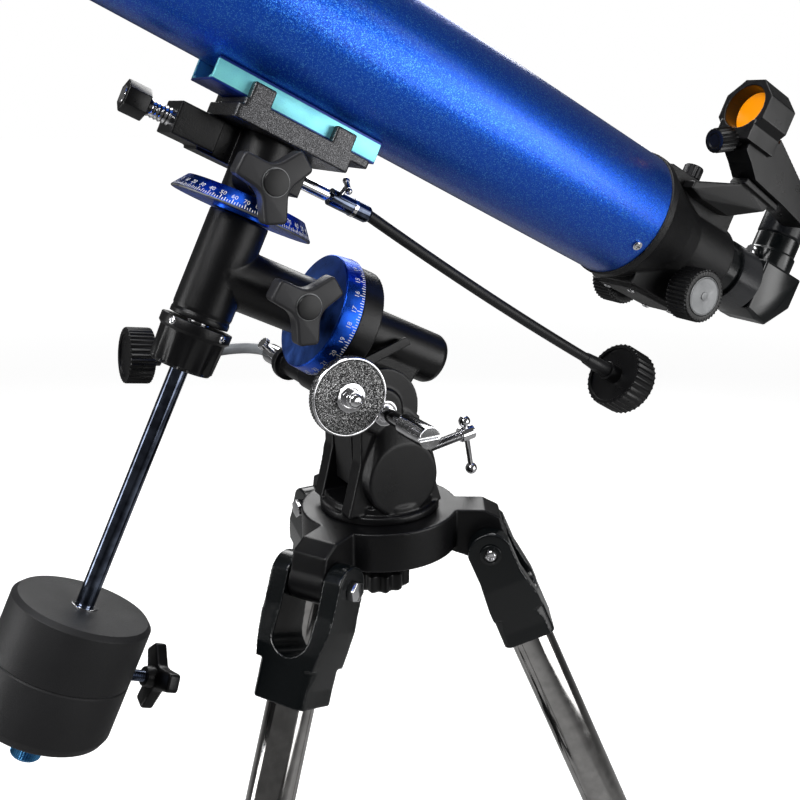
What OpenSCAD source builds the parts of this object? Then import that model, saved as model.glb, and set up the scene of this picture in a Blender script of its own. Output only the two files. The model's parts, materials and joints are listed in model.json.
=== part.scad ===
/* [Optical tube] */
// Outer diameter of the main tube
tube_d = 100; // [100:1:101]
// Length of the main tube ahead of the declination axis
tube_front = 400; // [300:10:600]
// Clear diameter of the objective lens
aperture = 90; // [70:1:90]
// Outer diameter of the dew shield
shield_d = 110; // [108:1:120]
// Length of the dew shield
shield_l = 105; // [80:5:140]
// Outer diameter of the focuser's sliding tube
drawtube_d = 50; // [44:1:50]

/* [Equatorial head] */
// Latitude the mount is set to, in degrees
latitude = 26; // [22:1:34]
// Height of the tube's axis above the polar axis
tube_rise = 163; // [163:1:170]
// Diameter of the counterweight shaft
shaft_d = 12; // [10:1:12]
// Distance from the polar axis to the end of the counterweight shaft
shaft_reach = 336; // [330:2:400]
// Diameter of the counterweight
weight_d = 92; // [70:2:100]
// Height of the counterweight
weight_h = 86; // [60:2:90]

/* [Tripod] */
// Angle between each leg and the vertical
leg_splay = 23.6; // [20:0.2:25]
// Outer diameter of the upper leg tubes
leg_d = 33; // [33:0.5:34]
// Length of a leg from its pivot to the floor, with the lower tube pushed in
leg_l = 700; // [680:10:800]
// Length of the upper leg section from its pivot
upper_l = 600; // [560:10:620]
// Diameter of the tripod head's top plate
head_d = 116; // [110:1:116]
// Distance from a leg's pivot to its brace bracket
bracket_at = 470; // [420:5:480]

/* [Hidden] */
$fn = 72;
gap = 0.05;

// Tripod: the head's top face and the leg pivots
pivot_r = 81;
pivot_drop = 28.5;
leg_angles = [-30, -150, 90];
head_z = leg_l * cos(leg_splay) + pivot_drop;
head_t = 29;
lug_w = 28;
leg_r = leg_d / 2;
leg_wall = 1.5;
inner_r = leg_r - leg_wall - gap;
bolt_r = 4;
bracket_off = 28;
brace_slope = 25;
hub_pivot_r = 36;
bracket_out = pivot_r + bracket_at * sin(leg_splay) - bracket_off * cos(leg_splay);
bracket_z = head_z - pivot_drop - bracket_at * cos(leg_splay) - bracket_off * sin(leg_splay);
brace_l = (bracket_out - hub_pivot_r) / cos(brace_slope);
hub_z = bracket_z + brace_l * sin(brace_slope);
strap_t = 6;

// Equatorial head: the crossing of the polar and declination axes
axes_x = -114.7;
axes_z = head_z + 181.8;
tilt_x = -14.3;
tilt_z = head_z + 81.6;
tilt_boss_r = 30;
cheek_in = 16;
cheek_out = 29.6;
latitude_bolt_r = 5;
polar_shaft_r = 10;
housing_r = 18.5;
flange_r = 39.5;
flange_x0 = 86.5;
flange_x1 = 103;
worm_x = 96;
worm_z = -43;
wheel_r = 36.2;
worm_r = 6.6;
dec_shaft_r = 7.9;
dec_body_r = 19.5;
dec_worm_y = 20;
dec_worm_z = 76;
weight_top = -233;
weight_knob_turn = 6;
ra_cable_end = 15;
dec_cable_end = 9;
dec_cable_dip = 8.2;
dec_cable_turn = 4.1;
dec_cable_bend_r = 3600;
shaft_r = shaft_d / 2;

// Optical tube, along X in the head's own frame
tube_r = tube_d / 2;
tube_back = 288;
tube_wall = 1.2;
cell_r = 52.4;
knob_x = 353;
knob_z = tube_rise - 37;
draw_r = drawtube_d / 2;
diagonal_x = 468;
ep_r = 15.8;
screw_turn = -118.7;

// A straight round bar between two places along one axis
module rod_x(x0, x1, r, z = 0) { translate([x0, 0, z]) rotate([0, 90, 0]) cylinder(r = r, h = x1 - x0); }
module rod_y(y0, y1, r, x = 0) { translate([x, y1, 0]) rotate([90, 0, 0]) cylinder(r = r, h = y1 - y0); }
module rod_z(z0, z1, r) { translate([0, 0, z0]) cylinder(r = r, h = z1 - z0); }
module box(x0, x1, y0, y1, z0, z1) { translate([x0, y0, z0]) cube([x1 - x0, y1 - y0, z1 - z0]); }
// A flat shape drawn in X and Z, given a thickness from y0 to y1
module slab_y(y0, y1) { translate([0, y1, 0]) rotate([90, 0, 0]) linear_extrude(y1 - y0) children(); }
// A turned shape from points of radius and height
module turned(points) { rotate_extrude() polygon(points); }
// The frame of the polar and declination axes, in which X runs down the polar axis
module at_head() { translate([axes_x, 0, axes_z]) rotate([0, latitude, 0]) children(); }
// The frame of the latitude pivot, upright
module at_tilt() { translate([tilt_x, 0, tilt_z]) children(); }
// The frame of a leg's pivot, with -Z down the leg
module at_leg(a) {
    rotate([0, 0, a]) translate([pivot_r, 0, head_z - pivot_drop]) rotate([0, -leg_splay, 0]) children();
}
// A length of round cable that bends by angle a at radius bend_r towards X, with children at its end
module bend(bend_r, a, r) {
    translate([bend_r, 0, 0]) mirror([1, 0, 0]) rotate([90, 0, 0])
        rotate_extrude(angle = a) translate([bend_r, 0]) circle(r);
    rod_z(-1, 1, r + 0.3);
    translate([bend_r * (1 - cos(a)), 0, bend_r * sin(a)]) rotate([0, a, 0]) children();
}
// A fluted round grip
module fluted(r, h, count, flute_r) {
    difference() {
        cylinder(r = r, h = h);
        for (i = [0 : count - 1]) rotate([0, 0, i * 360 / count])
            translate([r + flute_r * 0.45, 0, -1]) cylinder(r = flute_r, h = h + 2, $fn = 16);
    }
}
// A knob with three long lobes, a round cap and a threaded stem
module lobed_knob(stem_r, stem_l) {
    lobe_r = 7.5;
    reach = 17;
    for (i = [0:2]) rotate([0, 0, i * 120]) {
        translate([reach, 0, 0]) cylinder(r = lobe_r, h = 12);
        box(0, reach, 1 - lobe_r, lobe_r - 1, 0, 12);
    }
    rod_z(-10, 12, 9);
    rod_z(11, 14, 8);
    rod_z(-stem_l, 0, stem_r);
}
// A Phillips-headed screw with its head's base at the origin
module cross_screw(head_r, head_h, shank_r, shank_l) {
    difference() {
        union() {
            rod_z(0, head_h * 0.6, head_r);
            rod_z(head_h * 0.6, head_h, head_r * 0.75);
            rod_z(-shank_l, 0, shank_r);
        }
        for (a = [0, 90]) rotate([0, 0, a])
            box(-head_r * 0.55, head_r * 0.55, -head_r * 0.12, head_r * 0.12, head_h * 0.4, head_h + 1);
    }
}

/* Tripod */
module tripod_head() {
    color([0.06, 0.06, 0.065]) difference() {
        union() {
            rod_z(head_z - head_t, head_z, head_d / 2);
            rod_z(head_z - head_t - 7, head_z - head_t, 26);
            for (a = leg_angles) rotate([0, 0, a]) translate([0, 0, head_z]) slab_y(-lug_w / 2, lug_w / 2) {
                polygon([[40, 0], [pivot_r - 4, 0], [pivot_r + 8, -6], [pivot_r + 14, -pivot_drop],
                    [pivot_r, -pivot_drop - 14], [44, -head_t]]);
                translate([pivot_r, -pivot_drop]) circle(15);
            }
        }
        rod_z(head_z - 60, head_z + 1, 5 + gap);
        for (a = leg_angles) rotate([0, 0, a])
            translate([pivot_r, 0, head_z - pivot_drop]) rod_y(-20, 20, bolt_r + gap);
    }
}
module leg_pivot_bolts() {
    color([0.75, 0.75, 0.77]) for (a = leg_angles) rotate([0, 0, a])
        translate([pivot_r, 0, head_z - pivot_drop]) {
            rotate([90, 0, 0]) translate([0, 0, 28.6]) cross_screw(7.5, 4, bolt_r, 62);
            difference() {
                translate([0, 34, 0]) rotate([90, 0, 0]) cylinder(r = 7.5, h = 5.4, $fn = 6);
                rod_y(20, 40, bolt_r + gap);
            }
        }
}
module azimuth_knob() {
    color([0.05, 0.05, 0.055]) translate([0, 0, head_z - head_t - 36]) {
        fluted(23, 16, 12, 4);
        rod_z(16, 28.5, 15);
        rod_z(28.5, 73, 5);
    }
}
module spreader_hub() {
    color([0.07, 0.07, 0.075]) translate([0, 0, hub_z]) {
        difference() {
            union() {
                rod_z(-12, 20, 12);
                rod_z(20, 24, 24);
                for (a = leg_angles) rotate([0, 0, a]) for (s = [-1, 1])
                    translate([0, s * 5.6, 0]) slab_y(-2, 2)
                        polygon([[10, -9], [hub_pivot_r + 4, -9], [hub_pivot_r + 9, -3],
                            [hub_pivot_r + 9, 4], [hub_pivot_r + 4, 9], [10, 12]]);
            }
            rod_z(-4, 30, 4 + gap);
            for (a = leg_angles) rotate([0, 0, a]) box(12.5, 30, -3.5, 3.5, 10, 25);
        }
        for (a = leg_angles) rotate([0, 0, a]) for (s = [-1, 1])
            translate([hub_pivot_r, s * 8.6, 0]) rod_y(-1.1, 1.1, 4);
    }
}
module accessory_tray() {
    tray_z = hub_z + 24 + gap;
    lobe_at = 72;
    color([0.08, 0.08, 0.085]) {
        difference() {
            union() {
                rod_z(tray_z, tray_z + 4, 42);
                for (a = leg_angles) rotate([0, 0, a + 60]) {
                    translate([lobe_at, 0, 0]) rod_z(tray_z, tray_z + 4, 30);
                    box(0, lobe_at, -30, 30, tray_z, tray_z + 4);
                    difference() {
                        translate([lobe_at, 0, 0]) rod_z(tray_z, tray_z + 9, 30);
                        translate([lobe_at, 0, 0]) rod_z(tray_z + 4, tray_z + 10, 28);
                        box(-20, lobe_at - 2, -40, 40, tray_z + 4, tray_z + 10);
                    }
                }
            }
            for (a = leg_angles) rotate([0, 0, a + 60])
                translate([lobe_at, 0, 0]) rod_z(tray_z - 1, tray_z + 10, 16.3);
            rod_z(tray_z - 1, tray_z + 5, 4 + gap);
        }
        translate([0, 0, tray_z + 4 + gap]) {
            fluted(13, 12, 10, 3);
            rod_z(-24, 0, 3.9);
        }
    }
}
module leg_yoke(a) {
    side = [[-16, 4], [-16, -20], [-19, -46], [-20, -82], [20, -82], [20, -46], [16, -20], [16, 4]];
    front = [[-28.5, 16], [-28.5, -28], [-20.5, -70], [-20.5, -82], [20.5, -82], [20.5, -70],
        [28.5, -28], [28.5, 16]];
    color([0.05, 0.05, 0.055]) at_leg(a) difference() {
        intersection() {
            slab_y(-30, 30) { polygon(side); circle(16); }
            rotate([0, 0, 90]) slab_y(-24, 24) polygon(front);
            union() { rod_z(-90, -40, 26); box(-30, 30, -30, 30, -56, 20); }
        }
        rotate([0, 0, 90]) slab_y(-30, 30) {
            translate([0, -36]) circle(14.6);
            translate([-14.6, -36]) square([29.2, 70]);
        }
        rod_y(-40, 40, bolt_r + gap);
        rod_z(-90, -60, leg_r + gap);
    }
}
module upper_leg(a) {
    color([0.5, 0.5, 0.52]) at_leg(a) {
        difference() {
            rod_z(-upper_l, -60, leg_r);
            rod_z(-upper_l - 1, -59, inner_r + gap);
        }
        // Bracket band for the brace, with its fork and rivet
        difference() {
            union() {
                rod_z(-bracket_at - 9, -bracket_at + 9, leg_r + 3);
                for (s = [-1, 1]) translate([0, s * (strap_t / 2 + 2.1), 0]) slab_y(-1.5, 1.5)
                    translate([0, -bracket_at]) polygon([[-14, -9], [-bracket_off - 3, -7],
                        [-bracket_off - 7, 0], [-bracket_off - 3, 7], [-14, 9]]);
            }
            rod_z(-bracket_at - 10, -bracket_at + 10, leg_r + gap);
        }
        translate([-bracket_off, 0, -bracket_at]) {
            rod_y(-strap_t / 2 - 0.6, strap_t / 2 + 0.6, 2.5);
            for (s = [-1, 1]) translate([0, s * 7.7, 0]) rod_y(-1.1, 1.1, 4);
        }
        // Clamp collar at the foot of the tube, with its thumb screw
        difference() {
            union() {
                rod_z(-upper_l - 8, -upper_l + 30, leg_r + 3.5);
                translate([0, 0, -upper_l + 12]) rod_x(leg_r, leg_r + 9, 7);
            }
            rod_z(-upper_l, -upper_l + 31, leg_r + gap);
            rod_z(-upper_l - 9, -upper_l + 1, inner_r + 2 * gap);
        }
        translate([leg_r + 9 + gap, 0, -upper_l + 12]) {
            rod_x(0, 6, 3.5);
            translate([6, 0, 0]) rotate([0, 90, 0]) fluted(10, 9, 8, 3);
        }
    }
}
module lower_leg(a) {
    tube_top = upper_l - 320;
    color([0.6, 0.6, 0.62]) at_leg(a) difference() {
        rod_z(-leg_l + 16, -tube_top, inner_r);
        rod_z(-leg_l + 15, -tube_top + 1, inner_r - leg_wall);
    }
    color([0.03, 0.03, 0.03]) intersection() {
        at_leg(a) difference() {
            rod_z(-leg_l - 14, -leg_l + 44, inner_r + 4);
            rod_z(-leg_l + 16 - gap, -leg_l + 45, inner_r + gap);
        }
        rotate([0, 0, a]) box(0, 2 * leg_l, -100, 100, 0, 200);
    }
}
module brace(a) {
    color([0.1, 0.1, 0.11]) rotate([0, 0, a]) translate([bracket_out, 0, bracket_z])
        rotate([0, 180 + brace_slope, 0]) slab_y(-strap_t / 2, strap_t / 2) difference() {
            union() {
                circle(7);
                translate([0, -5.5]) square([brace_l, 11]);
                translate([brace_l, 0]) circle(7);
            }
            circle(2.5 + gap);
        }
}

/* Equatorial head */
module pedestal() {
    cheek = [[-40, 6], [-36, 20], [-30, 45], [-30, 112], [17, 112], [17, 62], [21, 43], [31, 22], [36, 6]];
    bulge = 10;
    pivot_h = tilt_z - head_z;
    color([0.06, 0.06, 0.065]) translate([0, 0, head_z]) difference() {
        union() {
            rod_z(gap, 6, 44);
            rod_z(6, 11, 40);
            for (s = [-1, 1]) {
                intersection() {
                    translate([0, s * (cheek_in + cheek_out) / 2, 0])
                        slab_y((cheek_in - cheek_out) / 2, (cheek_out - cheek_in) / 2) polygon(cheek);
                    union() {
                        translate([tilt_x, 0, pivot_h]) rod_y(-40, 40, tilt_boss_r);
                        box(-60, 60, -40, 40, 0, pivot_h - 8);
                    }
                }
                hull() {
                    translate([0, s * (cheek_out - 1), 34]) rod_y(-1, 1, 30, $fn = 32);
                    translate([-1, s * (cheek_out + bulge - 1), 31]) rod_y(-0.2, 0.2, 27, $fn = 32);
                    translate([tilt_x + 12, s * (cheek_out - 1), 66]) rod_y(-1, 1, 16, $fn = 32);
                }
                translate([tilt_x, s * (cheek_out + 1.5), pivot_h]) rod_y(-1.5, 1.5, 16);
            }
            box(21, 31, -cheek_in - 1, cheek_in + 1, 5, 48);
            translate([38.9, 0, 35.3]) rotate([0, 79.6, 0]) rod_z(-14, 0, 10);
        }
        rod_z(-40, gap, 80);
        rod_z(-1, 12, 5 + gap);
        translate([tilt_x, 0, pivot_h]) rod_y(-60, 60, latitude_bolt_r + gap);
        translate([38.9, 0, 35.3]) rotate([0, 79.6, 0]) rod_z(-40, 20, 4 + gap);
    }
}
module latitude_bolt() {
    color([0.75, 0.75, 0.77]) at_tilt() {
        rod_y(-66, 44, latitude_bolt_r);
        rod_y(-37, -33.2, 9);
        difference() {
            rod_y(-96, -64, 7.6);
            box(-10, 10, -97, -94, -1, 1);
            box(4.5, 10, -90, -72, -10, 10);
        }
        translate([0, 40, 0]) rotate([90, 0, 0]) cylinder(r = 9, h = 6.8, $fn = 6);
    }
}
module latitude_screw() {
    tip = -45.5;
    color([0.78, 0.78, 0.8]) translate([38.9, 0, head_z + 35.3]) rotate([0, 79.6, 0]) {
        rod_z(tip + 3.8, 37, 3.8);
        translate([0, 0, tip + 3.8]) sphere(r = 3.8);
        rod_z(32, 43, 5.8);
        translate([0, 0, 37]) {
            rod_x(-10, 30, 2);
            for (end = [-10, 30]) translate([end, 0, 0]) sphere(r = 4.6);
        }
    }
}
module latitude_pointer() {
    color([0.08, 0.08, 0.085]) at_head() {
        translate([113, 0, -14]) slab_y(-25, -22.5)
            polygon([[-9.5, -8], [-4, -13], [26, 18], [24, 21], [20, 21]]);
        translate([108, 0, -20]) rod_y(-22.6, -15.9, 4);
    }
}
module polar_housing() {
    lug_x = (tilt_x - axes_x) * cos(latitude) - (tilt_z - axes_z) * sin(latitude);
    lug_z = (tilt_x - axes_x) * sin(latitude) + (tilt_z - axes_z) * cos(latitude);
    color([0.06, 0.06, 0.065]) {
        at_head() difference() {
            union() {
                rod_x(flange_x0, flange_x1, flange_r);
                rod_x(flange_x1, 174, housing_r);
                translate([174, 0, 0]) rotate([0, 90, 0])
                    turned([[0, 0], [housing_r, 0], [housing_r - 1.5, 3.5], [housing_r - 6, 6], [0, 6]]);
                translate([worm_x, 0, worm_z]) rod_y(-15.5, 15.5, 9.6);
                translate([worm_x, 0, worm_z]) rod_y(-40, 50, 8.5);
                translate([worm_x, 0, worm_z]) rod_y(49, 56, 12.5);
                translate([worm_x, 0, worm_z]) rod_y(-43, -39, 9);
                box(flange_x0 + 1, flange_x1, -20, 20, worm_z, -20);
                slab_y(-cheek_in + 0.15, cheek_in - 0.15) polygon([[flange_x1 - 2, -8], [160, -8],
                    [lug_x + 21, lug_z + 8], [lug_x + 10, lug_z - 18], [lug_x - 14, lug_z - 12],
                    [flange_x1 + 4, -34], [flange_x1 - 2, -34]]);
                translate([lug_x, 0, lug_z]) rod_y(-cheek_in + 0.15, cheek_in - 0.15, 21);
            }
            rod_x(flange_x0 - 1, 172, polar_shaft_r + gap);
            rod_x(worm_x - 5.5, worm_x + 5.5, wheel_r + 1);
            translate([worm_x, 0, worm_z]) rod_y(-60, 60, 4 + gap);
            translate([worm_x, 0, worm_z]) rod_y(-14, 14, worm_r + 1);
            translate([lug_x, 0, lug_z]) rod_y(-40, 40, latitude_bolt_r + gap);
        }
        // Tail that hangs between the cheeks, for the latitude screw to press on
        at_tilt() difference() {
            slab_y(-14, 14) polygon([[-16, -14], [-14, -60], [8.3, -60], [8.3, -14]]);
            rod_y(-40, 40, 21);
        }
    }
}
// The outline of a wheel with square-cut teeth
module gear_outline(teeth, tip_r, root_r) {
    polygon([for (i = [0 : teeth - 1], k = [0, 1, 2, 3])
        let(r = k < 2 ? tip_r : root_r, a = (i + [-0.18, 0.18, 0.32, 0.68][k]) * 360 / teeth)
        [r * cos(a), r * sin(a)]]);
}
module polar_shaft() {
    color([0.8, 0.66, 0.35]) at_head() {
        rod_x(60, 168, polar_shaft_r);
        difference() {
            translate([worm_x - 4.5, 0, 0]) rotate([0, 90, 0]) linear_extrude(9)
                gear_outline(90, wheel_r, wheel_r - 1.1);
            rod_x(worm_x - 6, worm_x + 6, polar_shaft_r);
        }
    }
}
module worm_thread(length, r, pitch) {
    turns = floor(length / pitch);
    turned(concat([[0, -length / 2]],
        [for (i = [0 : turns - 1], k = [0, 1, 2, 3])
            [k == 0 || k == 3 ? r - 1.3 : r, -length / 2 + (i + [0, 0.35, 0.65, 0.99][k]) * pitch]],
        [[r - 1.3, length / 2], [0, length / 2]]));
}
module ra_worm() {
    color([0.75, 0.62, 0.32]) at_head() translate([worm_x, 0, worm_z]) rotate([-90, 0, 0]) {
        worm_thread(24, worm_r, 2.4);
        rod_z(-58.5, -12, 4);
        rod_z(12, 78, 4);
    }
}
module ra_drive_disc() {
    rim = 48;
    color([0.78, 0.78, 0.8]) at_head() translate([worm_x, -44, worm_z]) rotate([90, 0, 0]) difference() {
        union() {
            linear_extrude(5) polygon([for (i = [0 : 2 * rim - 1]) let(r = i % 2 == 0 ? 27.4 : 26.6)
                [r * cos(i * 180 / rim), r * sin(i * 180 / rim)]]);
            rod_z(5, 6.2, 23);
            rod_z(6.2, 8, 9);
            translate([0, 0, 8]) cylinder(r = 6.4, h = 5, $fn = 6);
            rod_z(13, 16.5, 4.6);
        }
        rod_z(-1, 15, 4 + gap);
    }
}
module ra_cable() {
    cable_r = 4.2;
    color([0.25, 0.25, 0.26]) at_head() translate([worm_x, 0, worm_z]) rotate([-90, 0, 0]) {
        difference() {
            rod_z(64, 88, 7.5);
            rod_z(60, 80, 4 + gap);
        }
        translate([0, 0, 72]) rotate([0, 0, -160]) {
            rod_x(7, 15, 2);
            rod_x(15, 18, 5);
        }
        translate([0, 0, 88]) rotate([0, 0, 139]) bend(64, 62, cable_r)
            rotate([0, 0, 43]) bend(36, 35, cable_r)
                rod_z(-1, ra_cable_end, cable_r + 0.3);
    }
}
module ra_slow_knob() {
    color([0.05, 0.05, 0.055]) at_head() translate([worm_x, 0, worm_z]) rotate([-90, 0, 0])
        translate([0, 0, 88]) rotate([0, 0, 139])
            translate([64 * (1 - cos(62)), 0, 64 * sin(62)]) rotate([0, 62, 0])
            rotate([0, 0, 43]) translate([36 * (1 - cos(35)), 0, 36 * sin(35)]) rotate([0, 35, 0])
                translate([0, 0, ra_cable_end + gap]) slow_knob(22, 20);
}
module slow_knob(r, l) {
    difference() {
        union() {
            rod_z(0, 9, 8);
            translate([0, 0, 8]) fluted(r, l, 24, 2.2);
        }
        translate([0, 0, 8]) difference() {
            rod_z(-1, 3, r - 4);
            rod_z(-2, 4, 8);
        }
        rod_z(l + 6, l + 9, r - 5);
    }
}
module ra_setting_circle() {
    color([0.05, 0.15, 0.75]) at_head() rotate([0, 90, 0]) turned([[polar_shaft_r + gap, 72], [40.2, 72],
        [40.2, 74], [42, 86], [37, 86], [37, 76], [15, 76], [15, 86], [polar_shaft_r + gap, 86]]);
}
module ra_lock_knob() {
    color([0.09, 0.09, 0.095]) at_head() translate([41, -44, 1]) rotate([90, 0, 0]) rotate([0, 0, 55])
        lobed_knob(4, 30);
}
module dec_housing() {
    color([0.06, 0.06, 0.065]) at_head() difference() {
        union() {
            rod_z(-34, 36, dec_body_r);
            rod_x(0, 70, dec_body_r + 0.4);
            rod_z(36, 80, 11);
            translate([0, 0, 71]) linear_extrude(9) gear_outline(48, 13.4, 12.6);
        }
        rod_z(-40, 90, dec_shaft_r + gap);
        rod_z(-30, -28, dec_body_r + 5);
        rod_x(59, 71, polar_shaft_r);
        translate([41, 0, 1]) rod_y(-40, -14, 4 + gap);
    }
    color([0.06, 0.06, 0.065]) at_head() difference() {
        rod_z(-31, -27, dec_body_r - 0.8);
        rod_z(-40, 90, dec_shaft_r + gap);
    }
}
module shaft_collar() {
    color([0.07, 0.07, 0.075]) at_head() {
        difference() {
            union() {
                rod_z(-42, -35.5, 23.6);
                rod_z(-64, -41, 20.8);
                rod_z(-66, -63, 19);
            }
            for (i = [0:11]) rotate([0, 0, 10 + i * 30]) translate([22.6, 0, 0]) rod_z(-67, -43, 3.4);
            rod_z(-50, -30, dec_shaft_r + gap);
            rod_z(-70, -40, shaft_r + gap);
        }
    }
}
module counterweight_shaft() {
    color([0.3, 0.31, 0.34]) at_head() difference() {
        rod_z(-shaft_reach + 11, -50, shaft_r);
        rod_z(-shaft_reach, -shaft_reach + 32, 3 + gap);
    }
}
module counterweight() {
    r = weight_d / 2;
    bottom = weight_top - weight_h;
    seam = weight_top - weight_h * 0.48;
    knob_h = weight_top - weight_h * 0.52;
    color([0.05, 0.05, 0.055]) at_head() difference() {
        turned([[shaft_r + gap, weight_top], [r - 2.5, weight_top], [r, weight_top - 2.5], [r, seam + 0.6],
            [r - 0.8, seam], [r, seam - 0.6], [r, bottom + 9], [r - 2.5, bottom + 3.5], [r - 9, bottom],
            [shaft_r + gap, bottom]]);
        translate([0, 0, knob_h]) rotate([0, 0, weight_knob_turn]) rod_x(0, r + 5, 4 + gap);
    }
}
module counterweight_knob() {
    knob_h = weight_top - weight_h * 0.52;
    color([0.06, 0.06, 0.065]) at_head() translate([0, 0, knob_h]) rotate([0, 0, weight_knob_turn])
        translate([weight_d / 2 + 22, 0, 0]) rotate([0, 90, 0]) rotate([0, 0, 12])
            small_lobed_knob(weight_d / 2 + 14);
}
module small_lobed_knob(stem_l) {
    for (i = [0:2]) rotate([0, 0, i * 120]) {
        translate([17, 0, 0]) cylinder(r = 6.5, h = 9);
        box(0, 17, -5.5, 5.5, 0, 9);
    }
    rod_z(-7, 11, 7.5);
    rod_z(-stem_l, 0, 4);
}
module shaft_end_screw() {
    color([0.1, 0.35, 0.6]) at_head() translate([0, 0, -shaft_reach - 5]) {
        fluted(10, 16 - gap, 18, 1.6);
        rod_z(16 - gap, 36, 3);
    }
}
module dec_setting_circle() {
    color([0.05, 0.15, 0.75]) at_head() turned([[11 + gap, 37], [19, 37], [19, 39], [41, 39],
        [45.8, 38.2], [46.8, 39.2], [39.2, 49], [11 + gap, 49]]);
}
module dec_lock_knob() {
    color([0.09, 0.09, 0.095]) at_head() translate([-10, -47, 60]) rotate([90, 0, 0]) rotate([0, 0, 55])
        lobed_knob(4, 33.4);
}
module dec_shaft() {
    color([0.72, 0.72, 0.74]) at_head() {
        rod_z(-50, 96, dec_shaft_r);
        rod_z(96, 99, 14);
    }
}
module dec_worm_block() {
    color([0.07, 0.07, 0.075]) at_head() difference() {
        union() {
            rod_z(50, 88, 18.5);
            translate([-10, 0, 60]) rod_y(-36.9, -10, 9.4);
            box(-40, 35, 8, 34, 64, 88);
            box(-59, -30, 4, 35, 66, 87);
        }
        rod_z(49, 81, 13.4 + 2 * gap);
        rod_z(80, 90, dec_shaft_r + gap);
        translate([-10, 0, 60]) rod_y(-60, -10, 4 + gap);
        translate([0, dec_worm_y, dec_worm_z]) {
            rod_x(-14, 14, 7);
            rod_x(-60, 40, 3 + gap);
            rod_x(-60, -50, 5 + gap);
        }
    }
}
module dec_worm() {
    color([0.75, 0.62, 0.32]) at_head() translate([0, dec_worm_y, dec_worm_z]) rotate([0, 90, 0]) {
        worm_thread(24, 6.4, 2.4);
        rod_z(-48, -12, 3);
        rod_z(12, 72, 3);
        rod_z(36, 58, 4.6);
    }
}
module dec_worm_plug() {
    color([0.25, 0.25, 0.26]) at_head() translate([0, dec_worm_y, dec_worm_z]) {
        rod_x(-76, -50, 5);
        for (i = [0:4]) translate([-61 - i * 2.4, 0, 0]) rod_x(-0.7, 0.7, 5.7);
        translate([-89, 0, 0]) rotate([0, 90, 0]) cylinder(r = 10.5, h = 15, $fn = 6);
    }
}
module dec_cable() {
    color([0.06, 0.06, 0.065]) at_head() translate([0, dec_worm_y, dec_worm_z]) rotate([0, 90, 0]) {
        difference() {
            rod_z(61, 94, 6.2);
            rod_z(60, 73, 3 + gap);
        }
        rotate([0, 0, 215]) translate([0, 0, 67]) {
            rod_x(5, 13, 1.6);
            rod_y(-6, 6, 2, x = 13);
        }
        translate([0, 0, 94]) rotate([0, dec_cable_dip, 0]) rotate([0, 0, 180])
            bend(dec_cable_bend_r, dec_cable_turn, 4.2) rod_z(0, dec_cable_end, 6);
    }
}
module at_dec_cable_end() {
    side = dec_cable_bend_r * (1 - cos(dec_cable_turn));
    along = dec_cable_bend_r * sin(dec_cable_turn);
    translate([0, dec_worm_y, dec_worm_z]) rotate([0, 90, 0]) translate([0, 0, 94])
        rotate([0, dec_cable_dip, 0]) rotate([0, 0, 180]) translate([side, 0, along])
            rotate([0, dec_cable_turn, 0]) children();
}
module dec_slow_knob() {
    color([0.05, 0.05, 0.055]) at_head() at_dec_cable_end()
        translate([0, 0, dec_cable_end + gap]) slow_knob(28, 24);
}
module saddle() {
    color([0.3, 0.3, 0.31]) at_head() difference() {
        union() {
            box(-37, 45, -27, 27, 88, 96);
            box(-34, 57, -27, 27, 96, 101.8);
            for (x = [-32, 27], s = [-1, 1])
                box(x, x + 15, min(s * 20.3, s * 27), max(s * 20.3, s * 27), 96, 112.5);
            box(-34, 57, 20.3, 27, 96, 108);
        }
        rod_z(80, 110, dec_shaft_r + gap);
        rod_z(95.9, 110, 14 + gap);
        for (x = [-20, 40]) translate([x, 0, 105]) rod_y(20, 30, 2.5 + gap);
        box(-50, 70, -20.2, 20.2, 101.8, 120);
        box(-12, 20, -28, -22, 95, 104);
    }
    // Two clamp screws through the far rail
    color([0.7, 0.7, 0.72]) at_head() for (x = [-20, 40]) translate([x, 0, 105]) {
        rod_y(20.4, 30, 2.5);
        translate([0, 30, 0]) rotate([-90, 0, 0]) fluted(7.5, 8, 10, 2.5);
    }
}
module dovetail_bar() {
    color([0.15, 0.75, 0.85]) at_head() difference() {
        box(-55, 63, -20, 20, 102, 117.5);
        translate([0, 0, tube_rise]) rod_x(-60, 70, tube_r + gap);
        box(-60, 70, -17, 17, 105, 120);
        box(-60, 70, -13, 13, 103.6, 110);
    }
}

/* Optical tube */
module main_tube() {
    color([0.02, 0.1, 0.55]) at_head() translate([0, 0, tube_rise]) difference() {
        rod_x(-tube_front, tube_back, tube_r);
        rod_x(-tube_front - 1, tube_back + 1, tube_r - tube_wall);
        for (x = [-tube_front + 9, tube_back - 9], i = [0:2])
            translate([x, 0, 0]) rotate([screw_turn + i * 120, 0, 0]) rod_z(tube_r - 5, tube_r + 2, 1.6);
    }
    // Two baffle rings inside the tube
    color([0.02, 0.02, 0.02]) at_head() translate([0, 0, tube_rise]) for (x = [-180, 60]) difference() {
        rod_x(x, x + 3, tube_r - tube_wall - gap);
        rod_x(x - 1, x + 4, aperture * (0.36 - x * 0.0003));
    }
}
module dew_shield() {
    color([0.02, 0.1, 0.55]) at_head() translate([-tube_front, 0, tube_rise]) difference() {
        rod_x(-shield_l, -6, shield_d / 2);
        rod_x(-shield_l - 1, 0, cell_r + gap);
    }
}
module lens_cell() {
    color([0.05, 0.05, 0.055]) at_head() translate([-tube_front, 0, tube_rise]) difference() {
        union() {
            rod_x(-26, 0, cell_r);
            rod_x(-5.9, 0, shield_d / 2 - 1);
            rod_x(0, 18, tube_r - tube_wall - gap);
        }
        rod_x(-22, 20, aperture / 2 + gap);
        rod_x(-27, -20, aperture / 2 - 2.5);
        for (i = [0:2]) translate([9, 0, 0]) rotate([screw_turn + i * 120, 0, 0])
            rod_z(tube_r - 8, tube_r + 2, 1.6);
    }
}
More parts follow.
